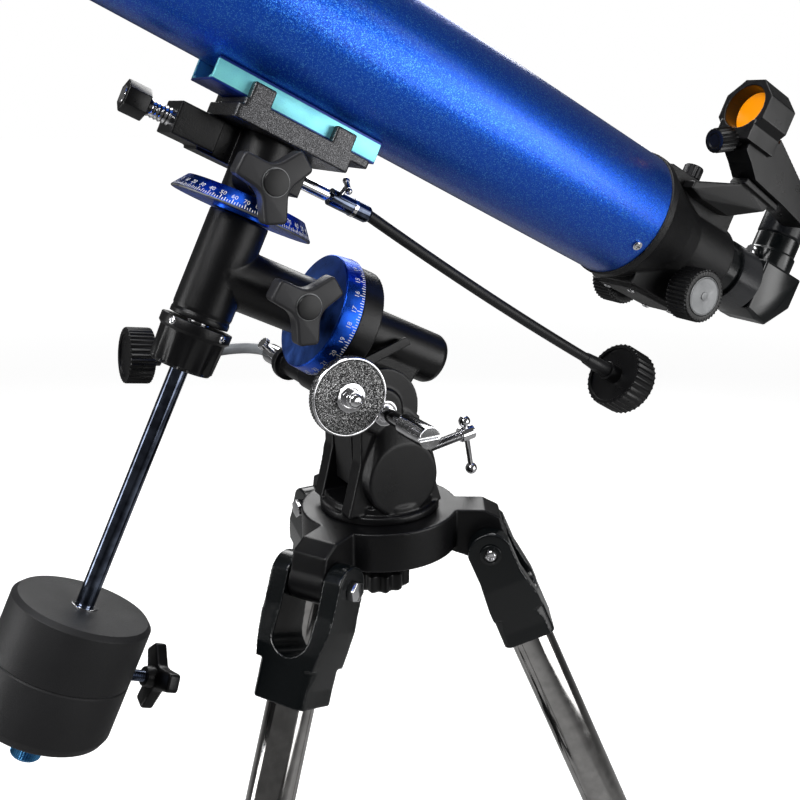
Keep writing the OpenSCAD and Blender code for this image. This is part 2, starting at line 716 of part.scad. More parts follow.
// A lens between two spherical faces, with its flat edge from x0 to x1
module lens(r, x0, x1, bulge0, bulge1) {
    steps = 12;
    translate([x0, 0, 0]) rotate([0, 90, 0]) turned(concat(
        [for (i = [0 : steps]) [r * i / steps, -bulge0 * (1 - pow(i / steps, 2))]],
        [for (i = [steps : -1 : 0]) [r * i / steps, x1 - x0 + bulge1 * (1 - pow(i / steps, 2))]]));
}
module objective_lenses() {
    color([0.7, 0.85, 0.9, 0.4]) at_head() translate([-tube_front, 0, tube_rise]) {
        lens(aperture / 2, -14, -9, 3.4, 3);
        lens(aperture / 2, -5.5, -1, -3, 0.8);
    }
}
module focuser_housing() {
    color([0.06, 0.06, 0.065]) at_head() translate([0, 0, tube_rise]) difference() {
        union() {
            translate([tube_back, 0, 0]) rotate([0, 90, 0]) turned([[0, -14],
                [tube_r - tube_wall - gap, -14], [tube_r - tube_wall - gap, 0], [51.5, 0], [51.5, 6],
                [49.5, 9], [36, 44], [32, 60], [32, 104], [0, 104]]);
            box(300, 384, -21, 21, 10, 48);
            box(306, 376, -24, 24, -49, -12);
        }
        translate([tube_back, 0, 0]) rotate([0, 90, 0]) turned([[0, -15], [46, -15], [46, 8],
            [27, 32], [27, 44], [draw_r + gap, 45], [draw_r + gap, 105], [0, 105]]);
        box(298, 400, -5, 5, -draw_r - 5, -draw_r + 3);
        translate([knob_x, 0, knob_z - tube_rise]) {
            rod_y(-8, 8, 9);
            rod_y(-60, 60, 3 + gap);
        }
        translate([342, 0, 0]) rod_z(draw_r - 2, 60, 2.5 + gap);
        for (i = [0:2]) translate([tube_back - 9, 0, 0]) rotate([screw_turn + i * 120, 0, 0])
            rod_z(tube_r - 8, tube_r + 2, 1.6);
    }
    // Cover plate of the pinion, held by four screws
    color([0.3, 0.3, 0.31]) at_head() translate([0, 0, tube_rise]) {
        box(312, 372, -20, 20, -52, -49 - gap);
        for (x = [318, 366], y = [-14, 14]) translate([x, y, -52]) rotate([180, 0, 0])
            cross_screw(3, 1.6, 1.4, 2);
    }
}
module drawtube() {
    tooth = 2.8;
    rack_z = -draw_r - 4;
    color([0.1, 0.1, 0.105]) at_head() translate([0, 0, tube_rise]) difference() {
        union() {
            rod_x(300, 424, draw_r);
            rod_x(412, 438, 28);
            slab_y(-4, 4) polygon(concat([[408, -draw_r + 2], [302, -draw_r + 2]],
                [for (i = [0:35], k = [0, 1, 2, 3]) [302 + (i + [0, 0.25, 0.5, 0.75][k]) * tooth,
                    k < 2 ? rack_z : rack_z + 1.6]], [[408, rack_z + 1.6]]));
        }
        rod_x(299, 410, draw_r - 2);
        rod_x(400, 440, ep_r + gap);
    }
    color([0.75, 0.75, 0.77]) at_head() translate([430, 0, tube_rise]) rotate([-60, 0, 0]) {
        translate([0, 0, 28 + gap]) fluted(4, 7, 8, 1.2);
    }
}
module focus_knobs() {
    color([0.07, 0.07, 0.075]) at_head() translate([knob_x, 0, knob_z]) {
        rod_y(-56, 56, 3);
        rotate([-90, 0, 0]) translate([0, 0, -4]) linear_extrude(8) gear_outline(16, 7.9, 6.2);
        for (s = [-1, 1]) rotate([s * 90, 0, 0]) {
            difference() {
                translate([0, 0, 33]) fluted(21, 22, 40, 1);
                rod_z(54, 56, 15.5);
            }
            rod_z(28, 33, 12);
        }
    }
    color([0.7, 0.7, 0.72]) at_head() translate([knob_x, 0, knob_z]) for (s = [-1, 1])
        rotate([s * 90, 0, 0]) difference() {
            rod_z(54 + gap, 55.2, 15.4);
            rod_z(50, 60, 3 + gap);
        }
}
module focus_lock_screw() {
    color([0.2, 0.2, 0.21]) at_head() translate([342, 0, tube_rise]) {
        rod_z(draw_r + 0.3, 52, 2.5);
        translate([0, 0, 52]) fluted(8, 11, 14, 1.6);
    }
}
module diagonal_body() {
    half = 25;
    color([0.07, 0.07, 0.075]) at_head() translate([diagonal_x, 0, tube_rise]) {
        difference() {
            union() {
                rod_x(-54, -20, ep_r);
                rod_x(-29.9, -20, 20);
                slab_y(-21, 21) polygon([[-half, -20], [-10, -half], [4, -half], [half, -2],
                    [half, half], [-half, half]]);
                rod_z(half, 42, 20.5);
                rod_z(36, 52, 19);
            }
            rod_x(-55, 0, 13);
            rod_z(0, 30, 13);
            rod_z(28, 53, ep_r + gap);
        }
        // The mirror, set across the corner
        rotate([0, 45, 0]) translate([0, 0, -6]) box(-16, 16, -12, 12, -2, 0);
    }
}
module eyepiece() {
    color([0.06, 0.06, 0.065]) at_head() translate([diagonal_x, 0, tube_rise]) difference() {
        union() {
            rod_z(30, 56, ep_r);
            translate([0, 0, 52.1]) turned([[0, 0], [18, 0], [19.5, 2], [19.5, 26], [18, 30], [18, 33],
                [19.8, 35], [19.8, 42], [17, 46], [0, 46]]);
        }
        rod_z(29, 88, 12);
        rod_z(86, 100, 9);
    }
    color([0.7, 0.85, 0.9, 0.4]) at_head() translate([diagonal_x, 0, tube_rise]) {
        rod_z(60, 66, 12 - gap);
        rod_z(78, 85, 12 - gap);
    }
}
module at_finder() { at_head() translate([0, -36, 0]) children(); }
module finder_bracket() {
    color([0.06, 0.06, 0.065]) at_finder() {
        hull() {
            slab_y(4, 14.9) polygon([[318, 199.4], [318, 205], [361, 210], [366, 196], [332, 196]]);
            slab_y(-5, 6) polygon([[361, 222], [388, 223.2], [398, 221.8], [392, 212]]);
        }
        slab_y(-8, 8) polygon([[356, 221], [358, 225.9], [402, 221.9], [402, 217]]);
    }
}
module finder_body() {
    color([0.05, 0.05, 0.055]) at_finder() difference() {
        union() {
            slab_y(-12, 12) polygon([[338, 252], [340, 241], [350, 235], [358, 229], [362, 226.2],
                [402, 222.2], [438, 217], [446, 222], [445, 231], [402, 250], [366, 266], [345, 262]]);
            box(330.4, 363.4, -17, 17, 246.5, 262);
            translate([331, 0, 246]) rotate([0, -120, 0]) rotate([0, 0, 90]) rod_z(-8, 0, 6);
            slab_y(-5, 5) polygon([[400, 246], [402, 254], [436, 239], [438, 229]]);
            translate([331, 0, 273]) rotate([0, 90, 0]) rotate([0, 0, 22.5])
                cylinder(r = 24, h = 31, $fn = 8);
        }
        translate([330, 0, 273]) rotate([0, 90, 0]) cylinder(r = 17.6, h = 40);
        translate([331, 0, 246]) rotate([0, -120, 0]) rotate([0, 0, 90]) rod_z(-9, 20, 3 + gap);
    }
}
module finder_lens() {
    color([0.9, 0.6, 0.1, 0.5]) at_finder() translate([345, 0, 273]) rotate([0, -6, 0])
        lens(17.3, 0, 2.6, -1.6, 1.6);
}
module finder_switch() {
    color([0.05, 0.05, 0.055]) at_finder() translate([331, 0, 246]) rotate([0, -120, 0]) {
        rod_z(-8, 1, 3);
        translate([0, 0, 0.6]) fluted(9.5, 17, 20, 1.4);
    }
}
module tube_screws() {
    color([0.8, 0.8, 0.82]) at_head() translate([0, 0, tube_rise])
        for (x = [-tube_front + 9, tube_back - 9], i = [0:2])
            translate([x, 0, 0]) rotate([screw_turn + i * 120, 0, 0])
                translate([0, 0, tube_r + gap]) cross_screw(3.6, 2, 1.5, 7);
}

tripod_head();
leg_pivot_bolts();
azimuth_knob();
spreader_hub();
accessory_tray();
leg_yoke(leg_angles[1]);  // leg_yoke_a
leg_yoke(leg_angles[0]);  // leg_yoke_b
leg_yoke(leg_angles[2]);  // leg_yoke_c
upper_leg(leg_angles[1]);  // upper_leg_a
upper_leg(leg_angles[0]);  // upper_leg_b
upper_leg(leg_angles[2]);  // upper_leg_c
lower_leg(leg_angles[1]);  // lower_leg_a
lower_leg(leg_angles[0]);  // lower_leg_b
lower_leg(leg_angles[2]);  // lower_leg_c
brace(leg_angles[1]);  // brace_a
brace(leg_angles[0]);  // brace_b
brace(leg_angles[2]);  // brace_c
pedestal();
latitude_bolt();
latitude_screw();
latitude_pointer();
polar_housing();
polar_shaft();
ra_worm();
ra_drive_disc();
ra_cable();
ra_slow_knob();
ra_setting_circle();
ra_lock_knob();
dec_housing();
shaft_collar();
counterweight_shaft();
counterweight();
counterweight_knob();
shaft_end_screw();
dec_setting_circle();
dec_lock_knob();
dec_shaft();
dec_worm_block();
dec_worm();
dec_worm_plug();
dec_cable();
dec_slow_knob();
saddle();
dovetail_bar();
main_tube();
dew_shield();
lens_cell();
objective_lenses();
focuser_housing();
drawtube();
focus_knobs();
focus_lock_screw();
diagonal_body();
eyepiece();
finder_bracket();
finder_body();
finder_lens();
finder_switch();
tube_screws();
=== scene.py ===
import json
import math

import bmesh
import bpy
from mathutils import Matrix, Vector


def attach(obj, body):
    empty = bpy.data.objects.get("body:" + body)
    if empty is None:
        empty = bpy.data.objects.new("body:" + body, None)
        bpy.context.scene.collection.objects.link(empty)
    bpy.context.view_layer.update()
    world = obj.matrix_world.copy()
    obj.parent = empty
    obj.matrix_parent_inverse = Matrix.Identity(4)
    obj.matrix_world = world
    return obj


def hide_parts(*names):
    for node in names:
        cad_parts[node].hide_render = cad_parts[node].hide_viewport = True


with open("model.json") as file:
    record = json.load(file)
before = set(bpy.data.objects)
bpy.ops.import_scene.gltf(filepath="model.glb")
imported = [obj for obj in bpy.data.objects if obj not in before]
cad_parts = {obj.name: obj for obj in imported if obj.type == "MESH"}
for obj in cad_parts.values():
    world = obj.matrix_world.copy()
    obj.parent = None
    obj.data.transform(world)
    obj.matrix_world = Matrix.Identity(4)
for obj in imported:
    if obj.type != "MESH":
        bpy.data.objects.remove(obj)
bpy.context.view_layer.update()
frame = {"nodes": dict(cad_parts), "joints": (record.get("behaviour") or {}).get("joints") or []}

# ---------------------------------------------------------------- frames
# Shapes are drawn in millimetres of a local frame; a frame's matrix takes them to metres of the row.
MM = Matrix.Scale(0.001, 4)
X, Y, Z = Vector((1, 0, 0)), Vector((0, 1, 0)), Vector((0, 0, 1))
JOINTS = {joint["name"]: joint for joint in frame["joints"]}
NODES = frame["nodes"]


def basis(origin, y, z):
    """The matrix of a frame with its origin in metres and its Y and Z axes in the row's."""
    x = Vector(y).cross(Vector(z)).normalized()
    m = Matrix((x, Vector(y).normalized(), Vector(z).normalized())).transposed().to_4x4()
    m.translation = Vector(origin)
    return m @ MM


def at(base, x=0, y=0, z=0, turns=()):
    """A frame moved by x, y, z and then turned by each (degrees, axis) in turn."""
    m = base @ Matrix.Translation((x, y, z))
    for angle, axis in turns:
        m = m @ Matrix.Rotation(math.radians(angle), 4, axis)
    return m


ROW = MM.copy()
HEAD = basis(JOINTS["ra_axis"]["pos_m"], Y, JOINTS["dec_axis"]["axis"])
HEAD_TOP = JOINTS["azimuth"]["pos_m"][2] * 1000
TOP = at(ROW, z=HEAD_TOP)
TILT = basis(JOINTS["latitude"]["pos_m"], Y, Z)
LEGS = {k: basis(JOINTS["leg_fold_" + k]["pos_m"], JOINTS["leg_fold_" + k]["axis"],
                 -Vector(JOINTS["leg_extend_" + k]["axis"])) for k in "abc"}
TUBE_Z = 163
ALONG = (90, "Y")
TOWARDS = (90, "X")
AWAY = (-90, "X")


# ---------------------------------------------------------------- shapes
def rounded(points, radius=1.0, steps=4, closed=True):
    """A polygon of (x, y) or (x, y, own radius) with its corners rounded."""
    out = []
    count = len(points)
    for i, p in enumerate(points):
        here = Vector(p[:2])
        r = p[2] if len(p) > 2 else radius
        if r <= 0 or (not closed and i in (0, count - 1)):
            out.append(tuple(here))
            continue
        before, after = Vector(points[i - 1][:2]) - here, Vector(points[(i + 1) % count][:2]) - here
        if before.length < 1e-6 or after.length < 1e-6:
            out.append(tuple(here))
            continue
        angle = before.angle(after)
        reach = min(r / max(math.tan(angle / 2), 1e-3), before.length * 0.49, after.length * 0.49)
        start, end = here + before.normalized() * reach, here + after.normalized() * reach
        for k in range(steps + 1):
            t = k / steps
            out.append(tuple(start * (1 - t) ** 2 + here * 2 * t * (1 - t) + end * t * t))
    return out


class Shape:
    """Vertices in metres of the row, with faces, a material number per face and a UV per corner."""

    def __init__(self):
        self.verts, self.faces, self.mats, self.uvs = [], [], [], []

    def add(self, verts, faces, place, mat=0, uvs=None):
        base = len(self.verts)
        self.verts += [place @ Vector(v) for v in verts]
        for i, face in enumerate(faces):
            self.faces.append([base + v for v in face])
            self.mats.append(mat)
            self.uvs.append(uvs[i] if uvs else [(verts[v][0] / 50, verts[v][1] / 50) for v in face])
        return self

    def turn(self, profile, place, mat=0, radius=0.5, seg=72, wave=None, steps=3, closed=True):
        """A turned shape about Z from a closed profile of (radius, height). wave(angle, r, z) may change r."""
        loop = rounded(profile, radius, steps, closed)
        rings = []
        verts = []
        for r, z in loop:
            if r < 1e-4:
                rings.append([len(verts)])
                verts.append((0, 0, z))
                continue
            ring = []
            for k in range(seg):
                a = 2 * math.pi * k / seg
                rr = wave(a, r, z) if wave else r
                ring.append(len(verts))
                verts.append((rr * math.cos(a), rr * math.sin(a), z))
            rings.append(ring)
        faces, uvs = [], []
        pairs = list(zip(rings, rings[1:] + rings[:1])) if closed else list(zip(rings, rings[1:]))
        heights = [p[1] for p in loop]
        for j, (one, two) in enumerate(pairs):
            h0, h1 = heights[j] / 50, heights[(j + 1) % len(loop)] / 50
            if len(one) == 1 and len(two) == 1:
                continue
            for k in range(seg):
                n = (k + 1) % seg
                u0, u1 = k / seg, (k + 1) / seg
                if len(one) == 1:
                    faces.append((one[0], two[n], two[k]))
                    uvs.append([(u0, h0), (u1, h1), (u0, h1)])
                elif len(two) == 1:
                    faces.append((one[k], one[n], two[0]))
                    uvs.append([(u0, h0), (u1, h0), (u0, h1)])
                else:
                    faces.append((one[k], one[n], two[n], two[k]))
                    uvs.append([(u0, h0), (u1, h0), (u1, h1), (u0, h1)])
        return self.add(verts, faces, place, mat, uvs)

    def rod(self, r, z0, z1, place, mat=0, edge=0.4, seg=48, wave=None):
        return self.turn([(0, z0, 0), (r, z0), (r, z1), (0, z1, 0)], place, mat, edge, seg, wave)

    def slab(self, outline, z0, z1, place, mat=0, edge=0.8, steps=3):
        """A flat plate between z0 and z1 with its outline's edges rounded over."""
        pts = [Vector(p[:2]) for p in outline]
        area = sum(p.x * q.y - q.x * p.y for p, q in zip(pts, pts[1:] + pts[:1]))
        if area < 0:
            pts.reverse()
        count = len(pts)
        inward = []
        for i, p in enumerate(pts):
            a, b = (p - pts[i - 1]), (pts[(i + 1) % count] - p)
            na, nb = Vector((-a.y, a.x)), Vector((-b.y, b.x))
            na = na.normalized() if na.length else na
            nb = nb.normalized() if nb.length else nb
            n = na + nb
            inward.append(n / max(n.length_squared / 2, 0.35) if n.length else na)
        rings = []
        for k in range(steps + 1):
            t = math.pi / 2 * k / steps
            rings.append((edge * (1 - math.sin(t)), z0 + edge * (1 - math.cos(t))))
        rings += [(inset, z0 + z1 - z) for inset, z in reversed(rings)]
        verts = [(p.x + n.x * inset, p.y + n.y * inset, z) for inset, z in rings for p, n in zip(pts, inward)]
        faces = [tuple(reversed(range(count))), tuple(range(len(verts) - count, len(verts)))]
        for j in range(len(rings) - 1):
            for k in range(count):
                n = (k + 1) % count
                faces.append((j * count + k, j * count + n, (j + 1) * count + n, (j + 1) * count + k))
        return self.add(verts, faces, place, mat)

    def box(self, x0, x1, y0, y1, z0, z1, place, mat=0, corner=1.5, edge=0.8):
        outline = rounded([(x0, y0), (x1, y0), (x1, y1), (x0, y1)], corner)
        return self.slab(outline, z0, z1, place, mat, edge)

    def pipe(self, path, r, mat=0, seg=20, wave=None):
        """A round cable along a path of points in metres of the row; r in metres."""
        points = [Vector(p) for p in path]
        up = Vector((0.3, 0.2, 0.9)).normalized()
        verts, count = [], len(points)
        for i, p in enumerate(points):
            along = (points[min(i + 1, count - 1)] - points[max(i - 1, 0)]).normalized()
            side = along.cross(up).normalized()
            up = side.cross(along).normalized()
            rr = wave(i) if wave else r
            for k in range(seg):
                a = 2 * math.pi * k / seg
                verts.append(p + side * math.cos(a) * rr + up * math.sin(a) * rr)
        faces, uvs = [tuple(range(seg)), tuple(range(len(verts) - seg, len(verts)))], []
        uvs += [[(0, 0)] * seg, [(0, 0)] * seg]
        for j in range(count - 1):
            for k in range(seg):
                n = (k + 1) % seg
                faces.append((j * seg + k, j * seg + n, (j + 1) * seg + n, (j + 1) * seg + k))
                u0, u1, v0, v1 = k / seg, (k + 1) / seg, j / 8, (j + 1) / 8
                uvs.append([(u0, v0), (u1, v0), (u1, v1), (u0, v1)])
        return self.add(verts, faces, Matrix.Identity(4), mat, uvs)


def new_object(name, mesh):
    obj = bpy.data.objects.new(name, mesh)
    bpy.context.scene.collection.objects.link(obj)
    return obj


def shade(mesh, angle=32):
    """Smooth faces, with edges sharper than the angle kept crisp."""
    mesh.polygons.foreach_set("use_smooth", [True] * len(mesh.polygons))
    mesh.set_sharp_from_angle(angle=math.radians(angle))
    mesh.update()


def to_mesh(name, shape):
    mesh = bpy.data.meshes.new(name)
    mesh.from_pydata([tuple(v) for v in shape.verts], [], shape.faces)
    layer = mesh.uv_layers.new(name="turned")
    flat = [c for uv in shape.uvs for corner in uv for c in corner]
    layer.data.foreach_set("uv", flat)
    mesh.polygons.foreach_set("material_index", shape.mats)
    work = bmesh.new()
    work.from_mesh(mesh)
    bmesh.ops.remove_doubles(work, verts=work.verts, dist=1e-6)
    bmesh.ops.recalc_face_normals(work, faces=work.faces)
    work.to_mesh(mesh)
    work.free()
    return mesh


def piece(name, shape, body, mats, nodes=(), angle=32):
    """Makes the shape an object that rides on a body and stands for some CAD nodes."""
    mesh = to_mesh(name, shape)
    for mat in mats:
        mesh.materials.append(mat)
    shade(mesh, angle)
    obj = new_object(name, mesh)
    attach(obj, body)
    if nodes:
        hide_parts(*nodes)
    return obj


def cast(name, source, body, mats, voxel, soften, keep, nodes=(), angle=60):
    """A casting: one skin round the source shape or CAD node, with its edges and inner corners softened."""
    if isinstance(source, str):
        mesh = NODES[source].data.copy()
        mesh.materials.clear()
    else:
        mesh = to_mesh(name, source)
    work = new_object(name + "_work", mesh)
    skin = work.modifiers.new("skin", "REMESH")
    skin.mode = "VOXEL"
    skin.voxel_size = voxel / 1000
    soft = work.modifiers.new("soft", "SMOOTH")
    soft.factor = 0.5
    soft.iterations = soften
    thin = work.modifiers.new("thin", "DECIMATE")
    thin.ratio = keep
    graph = bpy.context.evaluated_depsgraph_get()
    done = bpy.data.meshes.new_from_object(work.evaluated_get(graph))
    bpy.data.objects.remove(work)
    done.materials.clear()
    for mat in mats:
        done.materials.append(mat)
    shade(done, angle)
    obj = new_object(name, done)
    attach(obj, body)
    if nodes:
        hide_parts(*nodes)
    return obj


def carry(node, mat, angle=32, slot=None):
    """A CAD node shown as it is, with its own material."""
    obj = NODES[node]
    obj.data.materials.clear()
    obj.data.materials.append(mat)
    shade(obj.data, angle)
    return obj


# ---------------------------------------------------------------- materials
class Paint:
    """A procedural material, with short calls for the nodes that make it."""

    def __init__(self, name, **values):
        self.mat = bpy.data.materials.new(name)
        self.mat.use_nodes = True
        self.tree = self.mat.node_tree
        self.bsdf = self.tree.nodes["Principled BSDF"]
        coords = self.tree.nodes.new("ShaderNodeTexCoord")
        self.place, self.uv = coords.outputs["Object"], coords.outputs["UV"]
        self.set(**values)

    def put(self, socket, value):
        if isinstance(value, bpy.types.NodeSocket):
            self.tree.links.new(value, socket)
        else:
            if socket.type == "RGBA" and len(value) == 3:
                value = (*value, 1)
            socket.default_value = value

    def add(self, kind, inputs, out=0, **settings):
        node = self.tree.nodes.new("ShaderNode" + kind)
        for key, value in settings.items():
            setattr(node, key, value)
        for key, value in inputs.items():
            self.put(node.inputs[key], value)
        return node.outputs[out]

    def set(self, **values):
        for key, value in values.items():
            self.put(self.bsdf.inputs[key.replace("_", " ")], value)

    def noise(self, size_mm, detail=2.0, rough=0.5, vector=None):
        vector = vector or self.place
        return self.add("TexNoise", {"Vector": vector, "Scale": 1000 / size_mm, "Detail": detail, "Roughness": rough})

    def cells(self, size_mm, out="Color"):
        return self.add("TexVoronoi", {"Vector": self.place, "Scale": 1000 / size_mm}, out)

    def ramp(self, value, low, high, to_low=0.0, to_high=1.0):
        return self.add("MapRange", {"Value": value, "From Min": low, "From Max": high, "To Min": to_low, "To Max": to_high})

    def math(self, operation, one, two=0.0):
        return self.add("Math", {0: one, 1: two}, operation=operation)

    def mix(self, share, one, two):
        return self.add("MixRGB", {"Fac": share, "Color1": one, "Color2": two})

    def bump(self, height, strength, distance_mm, normal=None):
        inputs = {"Height": height, "Strength": strength, "Distance": distance_mm / 1000}
        if normal:
            inputs["Normal"] = normal
        return self.add("Bump", inputs)

    def worn(self):
        """Near 1 on outer edges, 0 elsewhere: the mask for edges painted lighter, partly rubbed wear and partly a
        painted edge highlight.
        """
        point = self.add("NewGeometry", {}, "Pointiness")
        return self.ramp(point, 0.52, 0.6)

    def done(self):
        return self.mat


def powder(name, colour, rough, grain_mm, depth, edge=(0.1, 0.1, 0.11), coat=0.0):
    """Powder-coated metal: orange-peel grain, a little dust of colour, edges painted a little lighter, partly as
    rubbed wear and partly as a painted edge highlight.
    """
    p = Paint(name, Coat_Weight=coat, Coat_Roughness=0.2, Specular_IOR_Level=0.3)
    grain = p.noise(grain_mm, 3)
    patch = p.noise(28, 2)
    base = p.mix(p.ramp(patch, 0.3, 0.7, 0, 0.35), colour, tuple(c * 1.4 for c in colour))
    # Convex edges painted towards the lighter edge colour: partly rubbed wear, partly a painted edge highlight.
    base = p.mix(p.math("MULTIPLY", p.worn(), 0.25), base, edge)
    p.set(Base_Color=base, Roughness=p.ramp(p.math("ADD", grain, patch), 0.7, 1.3, rough - 0.05, rough + 0.07))
    p.set(Normal=p.bump(grain, depth, 0.25))
    return p.done()


def plastic(name, colour, rough, grain_mm=0.5, depth=0.12):
    p = Paint(name, Specular_IOR_Level=0.3)
    grain = p.noise(grain_mm, 2)
    smear = p.noise(14, 3)
    p.set(Base_Color=p.mix(p.ramp(smear, 0.35, 0.7, 0, 0.4), colour, tuple(c * 1.7 for c in colour)),
          Roughness=p.ramp(smear, 0.3, 0.7, rough - 0.04, rough + 0.06), Normal=p.bump(grain, depth, 0.15))
    return p.done()


def metal(name, colour, rough, streak=0.0, grain_mm=0.4, depth=0.03, tint=None):
    """Bare or plated metal. A streaked one is brushed along the turned direction."""
    p = Paint(name, Metallic=1.0)
    if streak:
        stretched = p.add("Mapping", {"Vector": p.uv, "Scale": (90, 0.35, 1)})
        grain = p.add("TexNoise", {"Vector": stretched, "Scale": 1.0, "Detail": 3})
        p.set(Normal=p.bump(grain, streak, 0.05))
    else:
        grain = p.noise(grain_mm, 3)
        p.set(Normal=p.bump(grain, depth, 0.05))
    smear = p.noise(9, 3)
    dark = tint or tuple(c * 0.8 for c in colour)
    p.set(Base_Color=p.mix(p.ramp(smear, 0.35, 0.65), dark, colour),
          Roughness=p.ramp(p.math("ADD", smear, grain), 0.7, 1.3, rough * 0.7, rough * 1.4))
    return p.done()


def flake_paint(name, deep, bright, spark):
    """Clear-coated metallic paint with aluminium flakes that catch the light one by one. Its base runs from bright
    where the surface faces the camera to deep at the rim: partly the paint's metallic flop, partly a painted highlight
    and painted side shade.
    """
    p = Paint(name, Metallic=0.85, Coat_Weight=0.4, Coat_Roughness=0.2, Coat_IOR=1.4)
    flake = p.cells(0.42)
    fine = p.cells(0.3)
    pick = p.add("SeparateColor", {"Color": flake}, "Red")
    pick_fine = p.add("SeparateColor", {"Color": fine}, "Green")
    # bright and deep are the blue painted lit and painted in shade, mixed by facing: partly metallic flop, partly a
    # painted highlight on the face and painted shade at the sides.
    flop_and_painted_sheen = p.add("LayerWeight", {"Blend": 0.35}, "Facing")
    base = p.mix(flop_and_painted_sheen, bright, deep)
    base = p.mix(p.ramp(pick_fine, 0.55, 1.0, 0, 0.45), base, bright)
    base = p.mix(p.ramp(pick, 0.75, 1.0, 0, 0.5), base, spark)
    lean = p.add("VectorMath", {0: flake, 1: (0.5, 0.5, 0.5)}, operation="SUBTRACT")
    lean = p.add("VectorMath", {0: lean, "Scale": 0.2}, operation="SCALE")
    plain = p.add("NewGeometry", {}, "Normal")
    tilted = p.add("VectorMath", {0: plain, 1: lean}, operation="ADD")
    tilted = p.add("VectorMath", {0: tilted}, operation="NORMALIZE")
    p.set(Base_Color=base, Roughness=p.ramp(pick_fine, 0, 1, 0.3, 0.44), Normal=tilted)
    p.set(Coat_Normal=p.bump(p.noise(6, 1), 0.02, 0.1))
    return p.done()


def blasted(name, colour, sparkle, size_mm, dark=0.45):
    """Sandblasted cast metal with bright facets."""
    p = Paint(name, Metallic=0.9)
    facet = p.cells(size_mm)
    pick = p.add("SeparateColor", {"Color": facet}, "Red")
    grain = p.noise(0.8, 4)
    base = p.mix(p.ramp(pick, 0.5, 1), tuple(c * dark for c in colour), colour)
    p.set(Base_Color=base, Roughness=p.ramp(pick, 0, 1, 0.5, 0.25))
    lean = p.add("VectorMath", {0: facet, 1: (0.5, 0.5, 0.5)}, operation="SUBTRACT")
    lean = p.add("VectorMath", {0: lean, "Scale": sparkle}, operation="SCALE")
    rough_normal = p.bump(grain, 0.5, 0.3)
    tilted = p.add("VectorMath", {0: rough_normal, 1: lean}, operation="ADD")
    p.set(Normal=p.add("VectorMath", {0: tilted}, operation="NORMALIZE"))
    return p.done()


def anodised(name, colour, edge_shade_colour, axis, low_mm, high_mm):
    """Blue anodised bar with its side painted cyan as a painted highlight, and its long edges, below low and above
    high along the axis, painted navy as painted shade.
    """
    p = Paint(name, Metallic=0.35)
    height = p.add("VectorMath", {0: p.place, 1: tuple(axis)}, "Value", operation="DOT_PRODUCT")
    # The band of painted shade: navy along the long edges, below low and above high.
    band = p.math("MAXIMUM", p.ramp(height, (low_mm + 0.5) / 1000, low_mm / 1000),
                  p.ramp(height, (high_mm - 0.5) / 1000, high_mm / 1000))
    grain = p.noise(0.5, 3)
    smear = p.noise(20, 2)
    base = p.mix(p.ramp(smear, 0.3, 0.7), colour, tuple(min(1, c * 1.3 + 0.03) for c in colour))
    p.set(Base_Color=p.mix(band, base, edge_shade_colour), Roughness=p.ramp(grain, 0.3, 0.7, 0.26, 0.38),
          Normal=p.bump(grain, 0.12, 0.1))
    return p.done()


def clear(name, colour, alpha, coat, painted_glow=0.0):
    """Coated glass: mostly clear, with a coloured reflection and a painted glow, an emission that makes it shine a
    little of its own though it is no lamp.
    """
    p = Paint(name, Roughness=0.02, Coat_Weight=1.0, Coat_Tint=coat)
    smear = p.noise(12, 2)
    p.set(Base_Color=p.mix(p.ramp(smear, 0.3, 0.7, 0, 0.3), colour, coat), Alpha=alpha,
          Specular_Tint=(*coat, 1), Specular_IOR_Level=0.9, Emission_Color=coat, Emission_Strength=painted_glow)
    return p.done()


head_up = Vector(JOINTS["dec_axis"]["axis"])
head_origin = Vector(JOINTS["ra_axis"]["pos_m"])
bar_level = head_origin.dot(head_up) * 1000

CASTING = powder("black_casting", (0.003, 0.003, 0.0035), 0.32, 0.7, 0.35)
TEXTURED = powder("black_textured", (0.004, 0.004, 0.0045), 0.42, 0.8, 1.0)
GLOSS = powder("black_gloss", (0.002, 0.003, 0.0035), 0.2, 1.4, 0.12, coat=0.3)
WEIGHT = powder("counterweight_coat", (0.012, 0.012, 0.013), 0.5, 0.8, 0.7)
PLASTIC = plastic("black_plastic", (0.004, 0.004, 0.0045), 0.3)
KNOB = plastic("grey_knob", (0.022, 0.022, 0.024), 0.38, 0.6, 0.2)
SATIN = plastic("satin_black", (0.008, 0.009, 0.011), 0.26, 0.5, 0.06)
RUBBER = plastic("black_rubber", (0.01, 0.01, 0.011), 0.42, 0.7, 0.2)
CABLE_GREY = plastic("grey_cable", (0.19, 0.2, 0.21), 0.32, 0.7, 0.15)
CHROME = metal("chrome", (0.82, 0.82, 0.84), 0.09)
DARK_CHROME = metal("dark_chrome", (0.16, 0.19, 0.26), 0.13, tint=(0.06, 0.07, 0.1))
LEG_STEEL = metal("leg_steel", (0.5, 0.49, 0.48), 0.1, streak=0.15)
BRASS = metal("brass", (0.75, 0.55, 0.24), 0.25)
SILVER = metal("silver_disc", (0.24, 0.245, 0.25), 0.5, depth=0.12)
CAST_ALU = blasted("cast_aluminium", (0.12, 0.12, 0.125), 0.14, 0.3)
DISC_METAL = blasted("drive_disc_metal", (0.6, 0.6, 0.6), 0.9, 0.4, 0.04)
